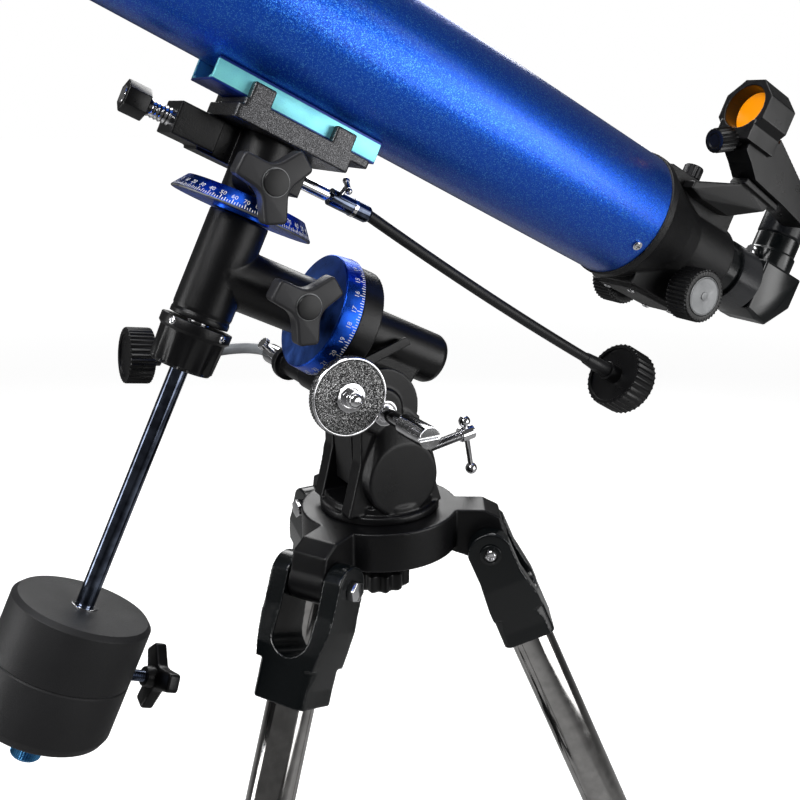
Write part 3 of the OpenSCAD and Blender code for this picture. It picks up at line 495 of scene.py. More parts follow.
# deep and bright are the tube blue as painted shade and as a painted highlight.
TUBE_BLUE = flake_paint("tube_blue", (0.0, 0.012, 0.16), (0.004, 0.1, 0.72), (0.15, 0.6, 1.0))
DIAL_BLUE = metal("dial_blue", (0.02, 0.12, 0.75), 0.3, grain_mm=0.6, depth=0.08, tint=(0.01, 0.07, 0.5))
DIAL_FACE = metal("dial_face_blue", (0.08, 0.2, 0.7), 0.38, grain_mm=0.5, depth=0.02, tint=(0.05, 0.14, 0.55))
SCREW_BLUE = metal("screw_blue", (0.08, 0.3, 0.6), 0.25)
MARK = plastic("white_mark", (0.9, 0.92, 0.95), 0.5)
# The bar's cyan is a painted highlight on blue anodising; its navy edge bands are painted shade.
BAR_PAINTED_LIT_BLUE = anodised("bar_painted_lit_blue", (0.22, 0.74, 0.9), (0.005, 0.03, 0.25), head_up, bar_level + 103.2, bar_level + 115.4)
LENS = clear("optical_glass", (0.8, 0.92, 0.95), 0.25, (0.5, 0.8, 0.7))
# The amber lens is given a painted glow (emission 0.35).
AMBER = clear("amber_glass", (1.0, 0.5, 0.02), 0.9, (1.0, 0.65, 0.08), 0.35)
INSIDE = plastic("tube_inside", (0.01, 0.01, 0.01), 0.7)

# ---------------------------------------------------------------- shared outlines and parts
TUBE = at(HEAD, z=TUBE_Z, turns=(ALONG,))
ACROSS = HEAD @ Matrix(((0, 0, 1, 0), (1, 0, 0, 0), (0, 1, 0, 0), (0, 0, 0, 1)))
WORM = at(HEAD, 96, 0, -43, (AWAY,))
DEC_WORM = at(HEAD, 0, 20, 76, (ALONG,))


def plate(shape, outline, y0, y1, base, mat=0, edge=0.8):
    """An outline in X and Z with its thickness along Y."""
    return shape.slab(outline, -y1, -y0, at(base, turns=(TOWARDS,)), mat, edge)


def lobed(reach, half, waist, corner):
    """The outline of a three-lobed knob."""
    coarse = []
    for k in range(3):
        turn = Matrix.Rotation(math.radians(120 * k), 2)
        for x, y, r in ((reach, -half, half * 0.5), (reach, half, half * 0.5),
                        (waist * 0.5, waist * 0.866, corner)):
            p = turn @ Vector((x, y))
            coarse.append((p.x, p.y, r))
    return rounded(coarse, steps=7)


def flutes(count, depth, above, power=1.0, low=-1e9, high=1e9):
    """A wave that cuts round flutes into radii beyond a limit."""
    def wave(a, r, z):
        if r < above or not low <= z <= high:
            return r
        return r - depth * (0.5 + 0.5 * math.cos(count * a)) ** power
    return wave


def thread(shape, r, z0, z1, place, mat=0, pitch=1.25, depth=0.5, seg=32):
    """A threaded rod, as fine rings."""
    turns = max(1, int((z1 - z0) / pitch))
    step = (z1 - z0) / turns
    profile = [(0, z0)]
    for i in range(turns):
        profile += [(r - depth, z0 + i * step), (r, z0 + (i + 0.5) * step)]
    profile += [(r - depth, z1), (0, z1)]
    return shape.turn(profile, place, mat, radius=0, seg=seg)


def cross_head(shape, r, h, place, mat=0):
    """A domed screw head with a cross recess, standing up from Z 0."""
    slot, deep = r * 0.14, h * 0.45
    dome = [(0, 0), (r, 0), (r, h * 0.45), (r * 0.8, h * 0.85), (r * 0.6, h), (r * 0.58, h - deep), (0, h - deep)]
    shape.turn(dome, place, mat, radius=0.15, seg=32)
    for k in range(4):
        turn = at(place, turns=((45 + 90 * k, "Z"),))
        shape.box(slot * 1.3, r * 0.5, slot * 1.3, r * 0.5, h - deep, h * 0.98, turn, mat, corner=slot, edge=0.1)
    return shape


def ball(shape, r, place, mat=0, seg=32):
    arc = [(r * math.sin(math.pi * k / 12), -r * math.cos(math.pi * k / 12)) for k in range(13)]
    return shape.turn([(abs(a), b) for a, b in arc], place, mat, radius=0, seg=seg)


def numerals(text, height):
    """The triangles of a number, centred, with its foot at Y 0, in millimetres."""
    curve = bpy.data.curves.new("numeral", "FONT")
    curve.body = text
    curve.align_x = "CENTER"
    curve.size = height * 1.35
    curve.resolution_u = 2
    obj = new_object("numeral", curve)
    mesh = bpy.data.meshes.new_from_object(obj.evaluated_get(bpy.context.evaluated_depsgraph_get()))
    points = [(v.co.x, v.co.y) for v in mesh.vertices]
    faces = [tuple(p.vertices) for p in mesh.polygons]
    bpy.data.objects.remove(obj)
    bpy.data.meshes.remove(mesh)
    return points, faces


def dial_marks(name, body, place, low, high, ticks, every, labels, up, text_mm):
    """Graduations and numbers on a cone from low (radius, z) to high (radius, z); up is which end the numbers' tops face."""
    shape = Shape()
    slant = Vector(high) - Vector(low)
    length = slant.length
    lift = 0.05

    def on_cone(angle, t):
        r = low[0] + slant.x * t / length + lift
        return (r * math.cos(angle), r * math.sin(angle), low[1] + slant.y * t / length)

    for i in range(ticks):
        a = 2 * math.pi * i / ticks
        tall = 3.6 if i % every == 0 else (2.8 if i % every == every // 2 else 1.9)
        wide = 0.26 / low[0]
        start = 0.4 if up > 0 else length - 0.4
        end = start + up * tall
        verts = [on_cone(a - wide, start), on_cone(a + wide, start), on_cone(a + wide, end), on_cone(a - wide, end)]
        shape.add(verts, [(0, 1, 2, 3)], place)
    for i, text in enumerate(labels):
        a0 = 2 * math.pi * i / len(labels)
        points, faces = numerals(text, text_mm)
        foot = 4.6 if up > 0 else length - 4.6
        verts = [on_cone(a0 + up * x / low[0], foot + up * y) for x, y in points]
        shape.add(verts, faces, place)
    piece(name, shape, body, [MARK])


def slow_knob(name, node, body, place, r, long):
    """A slow-motion knob: deep flutes round the grip, a recessed ring on the cable's side."""
    shape = Shape()
    end = 8 + long
    shape.turn([(0, 0, 0), (8, 0), (8, 11.2, 0.3), (r - 4, 11.2, 0.3), (r - 4, 8.2), (r, 8.2, 1.4), (r, end, 1.6),
                (r - 5, end), (r - 5, end - 2), (0, end - 2, 0)], place, 0, 0.7, 288, flutes(36, 1.1, r - 1.3, 0.6))
    thread(shape, 4, -1.5, 0.5, place, 1)
    piece(name, shape, body, [PLASTIC, CHROME], [node])


def lock_knob(name, node, body, place, stem):
    """A three-lobed lock knob with a round cap ringed by a thin bright line."""
    shape = Shape()
    shape.slab(lobed(24.4, 7.2, 9.6, 12), 0, 12, place, 0, edge=2.0, steps=5)
    shape.turn([(0, 10, 0), (8.6, 10), (8.6, 12.6), (0, 12.6, 0)], place, 2, 0.2, 48)
    shape.turn([(0, 12, 0), (8.0, 12), (8.0, 14), (0, 14, 0)], place, 1, 0.8, 48)
    shape.turn([(0, -10, 0), (8.2, -10), (9, -3), (9, 4), (0, 4, 0)], place, 0, 0.6, 48)
    shape.rod(4, -stem, -9, place, 3)
    piece(name, shape, body, [KNOB, PLASTIC, SILVER, CHROME], [node])


# ---------------------------------------------------------------- optical tube
def optical_tube():
    body = "tube_assembly"
    shape = Shape().turn([(48.8, -400), (50, -400), (50, 288), (48.8, 288)], TUBE, 0, 0.5, 160)
    for x in (-180, 60):
        hole = 90 * (0.36 - x * 0.0003)
        shape.turn([(hole, x), (48.7, x), (48.7, x + 3), (hole, x + 3)], TUBE, 1, 0.3, 96)
    piece("tube", shape, body, [TUBE_BLUE, INSIDE], ["main_tube"])
    shape = Shape().turn([(52.5, -505), (55, -505), (55, -406), (52.5, -406)], TUBE, 0, 1.0, 160)
    shape.turn([(51.5, -500), (52.6, -500), (52.6, -430), (51.5, -430)], TUBE, 1, 0.2, 96)
    piece("dew_shield", shape, body, [TUBE_BLUE, INSIDE], ["dew_shield"])
    shape = Shape().turn([(52.3, -426), (52.3, -405.9), (53.9, -405.9), (53.9, -400), (48.7, -400), (48.7, -382),
                          (45.1, -382), (45.1, -422), (42.5, -422), (42.5, -426)], TUBE, 0, 0.6, 128)
    for k in range(3):
        ring = at(TUBE, turns=((30 + 120 * k, "Z"),))
        cross_head(shape, 2.2, 1.4, at(ring, 47.5, 0, -426, ((180, "X"),)), 1)
    piece("lens_cell", shape, body, [CASTING, CHROME], ["lens_cell"])
    carry("objective_lenses", LENS)
    carry("tube_screws", CHROME)


def dovetail():
    outline = rounded([(-20, 102), (20, 102), (20, 116.9), (17, 115.7), (17, 105), (13, 105), (13, 103.6),
                       (-13, 103.6), (-13, 105), (-17, 105), (-17, 115.7), (-20, 116.9)], 0.4, 2)
    shape = Shape().slab(outline, -55, 63, ACROSS, 0, edge=0.5)
    piece("dovetail_bar", shape, "tube_assembly", [BAR_PAINTED_LIT_BLUE], ["dovetail_bar"])


def focuser():
    body = "tube_assembly"
    cast("focuser_housing", "focuser_housing", body, [TEXTURED], 0.7, 5, 0.3, ["focuser_housing"])
    shape = Shape()
    for x in (318, 366):
        for y in (-14, 14):
            cross_head(shape, 3.2, 1.8, at(HEAD, x, y, TUBE_Z - 51.9, ((180, "X"),)))
    piece("focuser_plate_screws", shape, body, [CHROME])
    carry("drawtube", GLOSS)
    pinion = at(HEAD, 353, 0, 126)
    shape = Shape()
    shape.rod(3, -53, 53, at(pinion, turns=(TOWARDS,)), 2)
    shape.rod(7.9, -4, 4, at(pinion, turns=(TOWARDS,)), 3, 0.3, 128, flutes(16, 1.7, 7, 0.7))
    for side in (1, -1):
        grip = at(pinion, turns=((side * 90, "X"),))
        shape.turn([(0, 28, 0), (12, 28), (12, 33.2), (21, 33.2, 1.6), (21, 55, 1.8), (15.6, 55), (15.6, 54), (0, 54, 0)],
                   grip, 0, 0.6, 240, flutes(40, 1.1, 20, 0.5))
        shape.turn([(0, 53.8, 0), (15.3, 53.8), (15.3, 55.0), (14.6, 55.2), (13.9, 54.8), (0, 54.8, 0)], grip, 1, 0.2, 96)
        shape.rod(3.4, 54.5, 55.4, grip, 1, 0.3)
    piece("focus_knobs", shape, "focus_knobs", [PLASTIC, SILVER, CHROME, BRASS], ["focus_knobs"])
    lock = at(HEAD, 342, 0, TUBE_Z)
    shape = Shape()
    thread(shape, 2.5, 26, 53, lock, 1, 0.9, 0.3)
    shape.turn([(0, 52, 0), (6, 52), (8, 53.5), (8, 62), (6.8, 63), (0, 63, 0)], lock, 0, 0.5, 112, flutes(14, 1.3, 7, 0.7))
    piece("focus_lock_screw", shape, "focus_lock", [KNOB, CHROME], ["focus_lock_screw"])


def eyepiece_end():
    corner = at(HEAD, 468, 0, TUBE_Z)
    shape = Shape()
    prism = rounded([(-25, -20), (-10, -25), (4, -25), (25, -2), (25, 25), (-25, 25)], 2.2, 4)
    plate(shape, prism, -21, 21, corner, 0, edge=2.4)
    shape.turn([(13.5, 24), (20.5, 24), (20.5, 37), (19, 38.5), (19, 52), (15.9, 52), (15.9, 28)], corner, 0, 0.8, 96)
    nose = at(corner, turns=(ALONG,))
    shape.turn([(13, -54), (15.8, -54), (15.8, -29), (13, -29)], nose, 1, 0.4, 96)
    shape.turn([(13, -29.9), (20, -29.9), (20, -22), (13, -22)], nose, 0, 0.8, 96)
    screw = at(corner, 0, 0, 31, ((-90, "Y"),))
    thread(shape, 1.8, 16, 24, screw, 2, 0.8, 0.25)
    shape.turn([(0, 22.5, 0), (4.5, 22.5), (4.5, 28.5), (0, 28.5, 0)], screw, 2, 0.5, 80, flutes(10, 0.7, 4))
    piece("diagonal", shape, "diagonal", [GLOSS, CHROME, CHROME], ["diagonal_body"])
    shape = Shape()
    shape.turn([(13.6, 30), (15.8, 30), (15.8, 56), (13.6, 56)], corner, 1, 0.4, 96)
    shape.turn([(12, 52.2), (18, 52.2), (19.4, 54), (19.4, 78), (18.2, 80), (18.2, 85), (12, 85)], corner, 0, 0.5, 180,
               flutes(60, 0.5, 19, 0.5, 56, 76))
    shape.turn([(9, 84), (18, 84), (19.7, 86.5), (19.7, 94), (17, 97.9), (11, 97.9), (9, 95)], corner, 2, 0.9, 96)
    shape.turn([(0, 92, 0), (9.2, 92), (9.2, 94), (5, 94.9), (0, 95.2, 0)], corner, 3, 0.3, 64)
    piece("eyepiece", shape, "eyepiece", [SATIN, CHROME, PLASTIC, LENS], ["eyepiece"])


def finder():
    body = "tube_assembly"
    near = at(HEAD, 0, -36, 0)
    cast("finder_bracket", "finder_bracket", body, [CASTING], 0.6, 4, 0.35, ["finder_bracket"])
    cast("finder_body", "finder_body", body, [PLASTIC], 0.5, 3, 0.25, ["finder_body"], angle=40)
    carry("finder_lens", AMBER)
    dial = at(near, 331, 0, 246, ((-120, "Y"),))
    shape = Shape()
    shape.turn([(0, -8, 0), (3, -8), (3, 0.6, 0), (9.5, 0.6), (9.5, 17.5, 1.2), (6, 17.5), (5, 16.8), (0, 16.8, 0)],
               dial, 0, 0.5, 160, flutes(20, 1.2, 9, 0.6))
    piece("finder_switch", shape, "finder_switch", [PLASTIC], ["finder_switch"])


# ---------------------------------------------------------------- equatorial head
def declination():
    cast("dec_housing", "dec_housing", "ra_body", [CASTING], 0.7, 8, 0.3, ["dec_housing"])
    cast("dec_worm_block", "dec_worm_block", "dec_body", [CASTING], 0.6, 5, 0.3, ["dec_worm_block"])
    shape = Shape()
    shape.turn([(11.1, 37), (19, 37), (19, 39), (41, 39), (45.6, 38.3), (46.6, 39.4), (39.2, 49), (11.1, 49)],
               HEAD, 0, 0.3, 160)
    shape.turn([(45.4, 38.2), (46.5, 38.25), (46.8, 39.0), (46.5, 39.5), (45.4, 39.3)], HEAD, 1, 0.2, 160)
    piece("dec_setting_circle", shape, "dec_circle", [DIAL_BLUE, SILVER], ["dec_setting_circle"])
    quarter = [str(v) for v in range(0, 90, 10)]
    back = [str(v) for v in range(90, 0, -10)]
    dial_marks("dec_marks", "dec_circle", HEAD, (46.6, 39.4), (39.2, 49), 180, 5, (quarter + back) * 2, 1, 3.3)
    lock_knob("dec_lock_knob", "dec_lock_knob", "dec_lock", at(HEAD, -10, -47, 60, (TOWARDS, (55, "Z"))), 33)
    carry("dec_shaft", CHROME)
    carry("dec_worm", CHROME)
    shape = Shape()
    thread(shape, 5.7, -76, -50, DEC_WORM, 1, 2.4, 0.8, 48)
    hexagon = [(10.4 * math.cos(math.pi * k / 3), 10.4 * math.sin(math.pi * k / 3)) for k in range(6)]
    shape.slab(rounded(hexagon, 0.6, 2), -89, -74, DEC_WORM, 0, edge=1.1)
    shape.rod(5.5, -89.4, -88, DEC_WORM, 1, 0.4)
    piece("dec_worm_plug", shape, "dec_body", [PLASTIC, CHROME], ["dec_worm_plug"])


def shaft_and_weight():
    shape = Shape()
    shape.turn([(8, -35.5), (23.5, -35.5), (23.5, -41.6, 0.8), (21.6, -43.5, 0.6), (20.8, -64, 1), (19, -66),
                (6.1, -66), (6.1, -45), (8, -45)], HEAD, 0, 0.8, 192, flutes(12, 2.4, 19.5, 0.8, -66, -44))
    for angle in (-150, -62, 30, 120):
        cross_head(shape, 2.6, 1.2, at(HEAD, 0, 0, -38.6, ((angle, "Z"), (90, "Y"), )) @ Matrix.Translation((0, 0, 23)), 1)
    piece("shaft_collar", shape, "dec_body", [CASTING, CHROME], ["shaft_collar"])
    shape = Shape().turn([(0, -325, 0), (6, -325), (6, -46), (0, -46, 0)], HEAD, 0, 0.6, 64)
    piece("counterweight_shaft", shape, "dec_body", [DARK_CHROME], ["counterweight_shaft"])
    shape = Shape()
    shape.turn([(6.1, -233), (43, -233), (46, -236), (46, -273.4), (45.1, -274.2), (46, -275), (46, -310, 3),
                (43.5, -315.5, 3), (37, -319, 3), (6.1, -319)], HEAD, 0, 0.9, 128)
    shape.turn([(6.05, -234), (9, -234), (9, -232.4), (6.05, -232.4)], HEAD, 1, 0.3, 48)
    piece("counterweight", shape, "counterweight", [WEIGHT, CHROME], ["counterweight"])
    knob = at(HEAD, 0, 0, -233 - 86 * 0.52, ((6, "Z"),)) @ Matrix.Translation((68, 0, 0))
    knob = at(knob, turns=(ALONG, (12, "Z")))
    shape = Shape()
    shape.slab(lobed(23.3, 6.3, 8.8, 7), 0, 9, knob, 0, edge=1.8, steps=4)
    shape.turn([(0, -7, 0), (6.6, -7), (7.5, -2), (7.5, 11), (0, 11, 0)], knob, 0, 0.9, 48)
    thread(shape, 4, -60, -6.5, knob, 1, 1.5, 0.5)
    piece("counterweight_knob", shape, "counterweight_knob", [PLASTIC, DARK_CHROME], ["counterweight_knob"])
    end = at(HEAD, z=-341)
    shape = Shape()
    shape.turn([(0, 0, 0), (8.5, 0), (10, 1.5), (10, 14.5), (8.5, 15.9), (0, 15.9, 0)], end, 0, 0.4, 216,
               flutes(36, 0.7, 9.5))
    shape.rod(3, 15, 36, end, 1)
    piece("shaft_end_screw", shape, "shaft_end_screw", [SCREW_BLUE, CHROME], ["shaft_end_screw"])


def polar_axis():
    cast("polar_housing", "polar_housing", "polar_head", [CASTING], 0.7, 6, 0.3, ["polar_housing"])
    cast("latitude_pointer", "latitude_pointer", "polar_head", [CASTING], 0.4, 3, 0.4, ["latitude_pointer"])
    carry("polar_shaft", BRASS)
    carry("ra_worm", CHROME)
    axis = at(HEAD, turns=(ALONG,))
    shape = Shape()
    shape.turn([(10.1, 72), (39.6, 72), (40.3, 72.6), (42, 85.6), (37, 86), (37, 76), (15, 76), (15, 86), (10.1, 86)],
               axis, 0, 0.4, 160)
    shape.turn([(10.4, 71.6), (12.5, 71.6), (12.5, 72.2), (39.2, 72.2), (39.2, 71.8), (12, 71.3)], axis, 1, 0.05, 160)
    piece("ra_setting_circle", shape, "ra_circle", [DIAL_BLUE, DIAL_FACE], ["ra_setting_circle"])
    hours = [str(h) for h in range(24)]
    dial_marks("ra_marks", "ra_circle", axis, (40.3, 72.8), (42, 85.6), 144, 6, hours, -1, 3.4)
    lock_knob("ra_lock_knob", "ra_lock_knob", "ra_lock", at(HEAD, 41, -44, 1, (TOWARDS, (55, "Z"))), 29)
    disc = at(HEAD, 96, -44, -43, (TOWARDS,))
    shape = Shape()
    shape.turn([(4.1, 0), (27.2, 0, 0.5), (27.2, 5, 0.7), (25.4, 6.0, 0.4), (24.2, 5.2, 0.3), (10, 5.4), (4.1, 5.4)],
               disc, 0, 0.3, 288, flutes(72, 0.5, 26.5))
    shape.turn([(24.9, 5.6), (25.3, 6.15), (26.3, 6.15), (26.9, 5.4), (26.5, 5)], disc, 1, 0.2, 160)
    shape.turn([(4.1, 5), (10, 5), (10, 7.2), (4.1, 7.2)], disc, 1, 0.4, 64)
    nut = [(6.6 * math.cos(math.pi * k / 3), 6.6 * math.sin(math.pi * k / 3)) for k in range(6)]
    shape.slab(rounded(nut, 0.5, 2), 7, 12.4, disc, 1, edge=0.7)
    shape.turn([(0, 12, 0), (5, 12), (4.6, 15, 2), (2.5, 16.5, 1.5), (0, 16.5, 0)], disc, 1, 0.8, 48)
    piece("ra_drive_disc", shape, "ra_worm", [DISC_METAL, CHROME], ["ra_drive_disc"])


def arc_path(place, bend_r, degrees, steps=14):
    """Points along a bend that starts along Z and turns towards X, and the frame at its end."""
    points = [place @ Vector((bend_r * (1 - math.cos(a)), 0, bend_r * math.sin(a)))
              for a in (math.radians(degrees) * k / steps for k in range(steps + 1))]
    a = math.radians(degrees)
    return points, at(place, bend_r * (1 - math.cos(a)), 0, bend_r * math.sin(a), ((degrees, "Y"),))


def cables():
    shape = Shape()
    shape.turn([(4.1, 64), (7.5, 64), (7.5, 86), (6.2, 88), (4.1, 88)], WORM, 1, 0.6, 64)
    screw = at(WORM, 0, 0, 72, ((-160, "Z"), ALONG))
    thread(shape, 2, 6, 15, screw, 1, 0.9, 0.3)
    shape.turn([(0, 14.5, 0), (5, 14.5), (5, 18), (0, 18, 0)], screw, 1, 0.4, 96, flutes(12, 0.7, 4.5))
    first, middle = arc_path(at(WORM, z=88, turns=((139, "Z"),)), 64, 62)
    middle = at(middle, turns=((43, "Z"),))
    second, end = arc_path(middle, 36, 35, 10)
    shape.pipe(first + second[1:] + [at(end, z=15) @ Vector((0, 0, 0))], 0.0042, 0, 24)
    shape.turn([(3, -2), (5.4, -2), (5.4, 14.6), (3, 14.6)], end, 1, 0.5, 48)
    piece("ra_cable", shape, "polar_head", [CABLE_GREY, CHROME], ["ra_cable"])
    slow_knob("ra_slow_knob", "ra_slow_knob", "ra_slow_knob", at(end, z=15.05), 22, 20)

    shape = Shape()
    shape.turn([(3.1, 61), (6.2, 61), (6.2, 92), (5, 94), (3.1, 94)], DEC_WORM, 0, 0.6, 64)
    shape.turn([(5.9, 79), (6.6, 79), (6.6, 82), (5.9, 82)], DEC_WORM, 1, 0.2, 64)
    screw = at(DEC_WORM, 0, 0, 67, ((215, "Z"), ALONG))
    thread(shape, 1.8, 5, 13.5, screw, 1, 0.8, 0.25)
    bar = at(screw, z=13, turns=(TOWARDS,))
    shape.rod(1.9, -6, 6, bar, 1, 0.8)
    for tip in (-6, 6):
        ball(shape, 2.5, at(bar, z=tip), 1)
    path, end = arc_path(at(DEC_WORM, z=94, turns=((8.2, "Y"), (180, "Z"))), 3600, 4.1, 40)
    shape.pipe([at(DEC_WORM, z=88) @ Vector((0, 0, 0))] + path + [at(end, z=8.5) @ Vector((0, 0, 0))], 0.0042, 2, 24)
    shape.turn([(3, -18), (4.9, -18), (6, -5), (6, 8.6), (3, 8.6)], end, 2, 0.8, 48)
    piece("dec_cable", shape, "dec_body", [DARK_CHROME, CHROME, RUBBER], ["dec_cable"])
    slow_knob("dec_slow_knob", "dec_slow_knob", "dec_slow_knob", at(end, z=9.05), 28, 24)


def saddle():
    shape = Shape()
    shape.box(-37, 45, -27, 27, 88, 97, HEAD, corner=3)
    shape.box(-34, 57, -27, 27, 96, 101.7, HEAD, corner=3)
    for x in (-32, 27):
        for y in (-27, 20.4):
            shape.box(x, x + 15, y, y + 6.6, 97, 112.4, HEAD, corner=1.6, edge=1.2)
    shape.box(-34, 57, 20.4, 27, 97, 108, HEAD, corner=1.6, edge=1.2)
    cast("saddle", shape, "dec_body", [CAST_ALU], 0.5, 5, 0.3, ["saddle"])
    shape = Shape()
    for x in (-20, 40):
        screw = at(HEAD, x, 27, 105, (AWAY,))
        thread(shape, 2.5, -6.5, 4, screw, 1, 0.9, 0.3)
        shape.turn([(0, 3, 0), (7.5, 3), (7.5, 11), (0, 11, 0)], screw, 0, 0.8, 120, flutes(10, 1.2, 7))
    piece("saddle_screws", shape, "dec_body", [PLASTIC, CHROME])


def base():
    cast("pedestal", "pedestal", "azimuth_head", [CASTING], 0.8, 9, 0.3, ["pedestal"])
    cast("latitude_bolt", "latitude_bolt", "azimuth_head", [CHROME], 0.4, 2, 0.35, ["latitude_bolt"], 40)
    screw = at(TOP, 38.9, 0, 35.3, ((79.6, "Y"),))
    shape = Shape()
    thread(shape, 3.8, -41, 32, screw, 0, 1.25, 0.45)
    ball(shape, 3.4, at(screw, z=-41.9))
    shape.turn([(0, 31, 0), (5.8, 31), (5.8, 43), (0, 43, 0)], screw, 0, 1.2, 48)
    bar = at(screw, z=37, turns=(ALONG,))
    shape.rod(2, -10, 30, bar)
    for tip in (-10, 30):
        ball(shape, 4.6, at(bar, z=tip))
    piece("latitude_screw", shape, "latitude_screw", [CHROME], ["latitude_screw"])
    knob = at(TOP, z=-65)
    shape = Shape()
    shape.turn([(0, 0, 0), (20, 0), (23, 2.5), (23, 14), (20, 16), (15, 16), (15, 28.4), (5, 28.4), (5, 73), (0, 73, 0)],
               knob, 0, 1.0, 144, flutes(12, 3, 19, 0.8))
    piece("azimuth_knob", shape, "azimuth_lock", [PLASTIC], ["azimuth_knob"])


# ---------------------------------------------------------------- tripod
def pivot_bolts():
    shape = Shape()
    for k in "abc":
        near = at(LEGS[k], 0, -28.6, 0, (TOWARDS,))
        shape.turn([(0, 0, 0), (7.8, 0), (7.8, 1.4), (5.4, 2), (5.4, 1.2), (0, 1.2, 0)], near, 1, 0.3, 64)
        shape.rod(3.9, -62, 1.3, near)
        cross_head(shape, 4.2, 2.8, at(near, z=1.2))
        far = at(LEGS[k], 0, 28.6, 0, (AWAY,))
        hexagon = [(7.4 * math.cos(math.pi * i / 3), 7.4 * math.sin(math.pi * i / 3)) for i in range(6)]
        shape.slab(rounded(hexagon, 0.6, 2), 0, 5.4, far, 0, edge=0.7)
    piece("leg_pivot_bolts", shape, "base", [CHROME, GLOSS], ["leg_pivot_bolts"])


def tripod():
    cast("tripod_head", "tripod_head", "base", [CASTING], 0.9, 7, 0.3, ["tripod_head"])
    pivot_bolts()
    cast("spreader_hub", "spreader_hub", "spreader", [PLASTIC], 0.7, 3, 0.3, ["spreader_hub"])
    cast("accessory_tray", "accessory_tray", "spreader", [PLASTIC], 0.8, 2, 0.2, ["accessory_tray"])
    for k in "abc":
        leg = LEGS[k]
        body = "leg_" + k
        pivot = JOINTS["brace_fold_" + k]
        origin, side = Vector(pivot["pos_m"]), Vector(pivot["axis"])
        band = (leg.inverted() @ origin).z
        cast("leg_yoke_" + k, "leg_yoke_" + k, body, [GLOSS], 0.8, 7, 0.3, ["leg_yoke_" + k])
        shape = Shape().turn([(15, -600), (16.5, -600), (16.5, -60), (15, -60)], leg, 0, 0.4, 96)
        piece("leg_tube_" + k, shape, body, [LEG_STEEL])
        shape = Shape()
        shape.turn([(16.55, band - 9), (19.5, band - 9), (19.5, band + 9), (16.55, band + 9)], leg, 0, 0.8, 72)
        ear = rounded([(-14, band - 9), (-31, band - 7), (-35, band), (-31, band + 7), (-14, band + 9)], 3)
        for y in (-6.6, 3.6):
            plate(shape, ear, y, y + 3, leg, 0, 0.6)
        rivet = at(leg, -28, 0, band, (TOWARDS,))
        shape.rod(2.5, -9.4, 9.4, rivet, 1, 0.8)
        shape.turn([(16.6, -570), (20, -572), (20, -607), (15.1, -608), (15.1, -600), (16.6, -600)], leg, 0, 1, 72)
        clamp = at(leg, 0, 0, -588, (ALONG,))
        shape.rod(7, 16.5, 25.4, clamp, 0, 0.8)
        shape.rod(3.5, 25, 32, clamp, 1)
        shape.turn([(0, 31.4, 0), (10, 31.4), (10, 40.4), (0, 40.4, 0)], clamp, 0, 1, 128, flutes(8, 1.8, 9))
        piece("leg_fittings_" + k, shape, body, [PLASTIC, CHROME], ["upper_leg_" + k])
        foot = carry("lower_leg_" + k, CHROME)
        foot.data.materials.append(RUBBER)
        inverse = leg.inverted()
        for face in foot.data.polygons:
            centre = inverse @ face.center
            radius = math.hypot(centre.x, centre.y)
            face.material_index = 1 if centre.z < -655 and (radius > 15.3 or centre.z < -684.5) else 0
        outward = Vector((origin.x, origin.y, 0)).normalized()
        slope = math.radians(25)
        run = Z * math.sin(slope) - outward * math.cos(slope)
        reach = (math.hypot(origin.x, origin.y) * 1000 - 36) / math.cos(slope)
        strap = basis(origin, side, run.cross(side))
        shape = Shape()
        plate(shape, rounded([(-7, -6), (reach + 7, -6), (reach + 7, 6), (-7, 6)], 5.9, 6), -3, 3, strap, 0, 0.8)
        for y in (-3.3, 2.7):
            plate(shape, rounded([(12, -2.6), (reach - 12, -2.6), (reach - 12, 2.6), (12, 2.6)], 2.5, 4),
                  y, y + 0.6, strap, 0, 0.25)
        piece("brace_" + k, shape, "strut_" + k, [PLASTIC], ["brace_" + k])


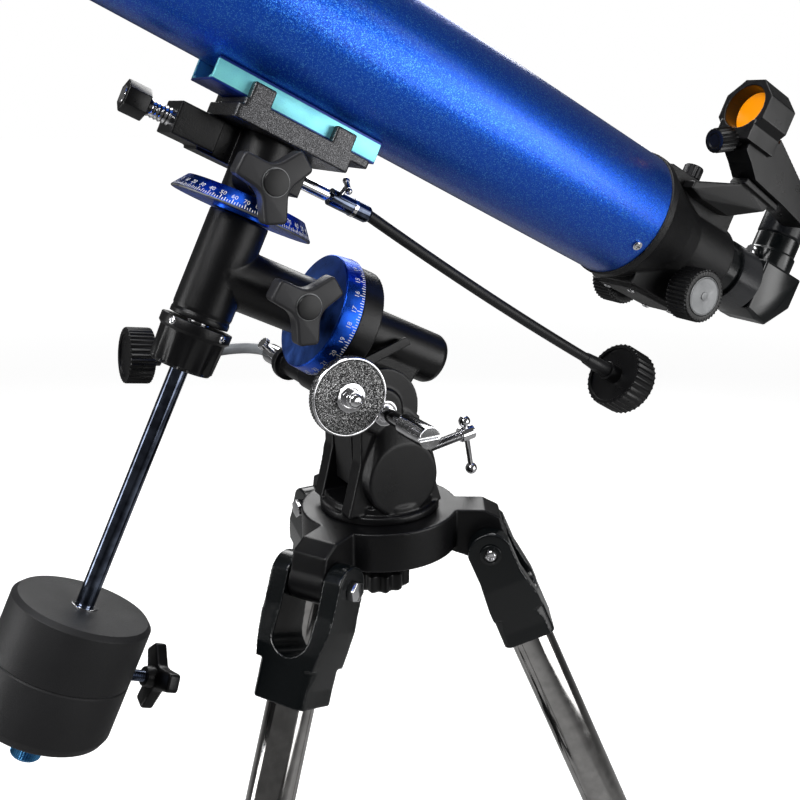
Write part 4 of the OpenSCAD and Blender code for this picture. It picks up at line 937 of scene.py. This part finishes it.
# ---------------------------------------------------------------- studio
def studio():
    view_angle = Vector((math.radians(-29.12), math.radians(16.75)))
    back = Vector((math.sin(view_angle.x) * math.cos(view_angle.y), -math.cos(view_angle.x) * math.cos(view_angle.y),
                   math.sin(view_angle.y)))
    camera = bpy.data.objects.new("camera", bpy.data.cameras.new("camera"))
    bpy.context.scene.collection.objects.link(camera)
    camera.data.lens = 44.08
    camera.data.sensor_width = 36
    camera.location = head_origin + Vector((-0.2008, -0.5975, 0.1010))
    camera.rotation_mode = "QUATERNION"
    camera.rotation_quaternion = (-back).to_track_quat("-Z", "Y")
    camera.data.clip_start = 0.02
    bpy.context.scene.camera = camera

    right = Vector((-back.y, back.x, 0)).normalized()
    target = head_origin + Vector((0.1, 0, -0.05))

    def soft_light(name, away, size, power, colour=(1, 1, 1)):
        light = bpy.data.lights.new(name, "AREA")
        light.shape = "RECTANGLE"
        light.size, light.size_y = size
        light.energy = power
        light.color = colour
        obj = bpy.data.objects.new(name, light)
        bpy.context.scene.collection.objects.link(obj)
        obj.location = target + away
        obj.rotation_mode = "QUATERNION"
        obj.rotation_quaternion = (-away).to_track_quat("-Z", "Y")

    flat_back = Vector((back.x, back.y, 0)).normalized()
    soft_light("key", flat_back * 1.2 - right * 0.9 + Z * 1.5, (1.1, 0.8), 34)
    soft_light("side", flat_back * 0.5 + right * 1.9 + Z * 0.4, (0.5, 1.4), 5)
    soft_light("front", HEAD @ Vector((880, -1250, 320)) - target, (1.1, 0.8), 9)
    soft_light("left_strip", -right * 1.9 + flat_back * 0.3 + Z * 0.1, (0.5, 1.6), 14)
    soft_light("top", Z * 2.0 - flat_back * 0.3, (1.4, 1.4), 30)
    soft_light("rear", -flat_back * 1.8 + Z * 1.0, (1.4, 1.0), 22)

    scene = bpy.context.scene
    world = bpy.data.worlds.new("studio")
    scene.world = world
    world.use_nodes = True
    tree = world.node_tree
    sky = tree.nodes["Background"]
    path = tree.nodes.new("ShaderNodeLightPath")
    level = tree.nodes.new("ShaderNodeMapRange")
    level.inputs["To Min"].default_value = 0.1
    level.inputs["To Max"].default_value = 1.0
    tree.links.new(path.outputs["Is Camera Ray"], level.inputs["Value"])
    tree.links.new(level.outputs["Result"], sky.inputs["Strength"])
    sky.inputs["Color"].default_value = (1, 1, 1, 1)

    floor_paint = Paint("pale_floor", Roughness=0.7)
    patch = floor_paint.noise(900, 2)
    pale = floor_paint.mix(patch, (0.82, 0.82, 0.82), (0.86, 0.86, 0.86))
    seen = floor_paint.add("LightPath", {}, "Is Camera Ray")
    floor_paint.set(Base_Color=floor_paint.mix(seen, (0.3, 0.3, 0.3), pale))
    fade = floor_paint.ramp(floor_paint.add("LightPath", {}, "Ray Length"), 1.5, 6, 0.5, 1.0)
    floor_paint.set(Emission_Color=(1, 1, 1), Emission_Strength=floor_paint.math("MULTIPLY", seen, fade))
    floor = Shape().turn([(0, 0, 0), (30000, 0)], ROW, 0, 0, 96, closed=False)
    mesh = to_mesh("floor", floor)
    mesh.materials.append(floor_paint.done())
    new_object("floor", mesh)
    scene.view_settings.view_transform = "Standard"


optical_tube()
dovetail()
focuser()
eyepiece_end()
finder()
declination()
shaft_and_weight()
polar_axis()
cables()
saddle()
base()
tripod()
studio()
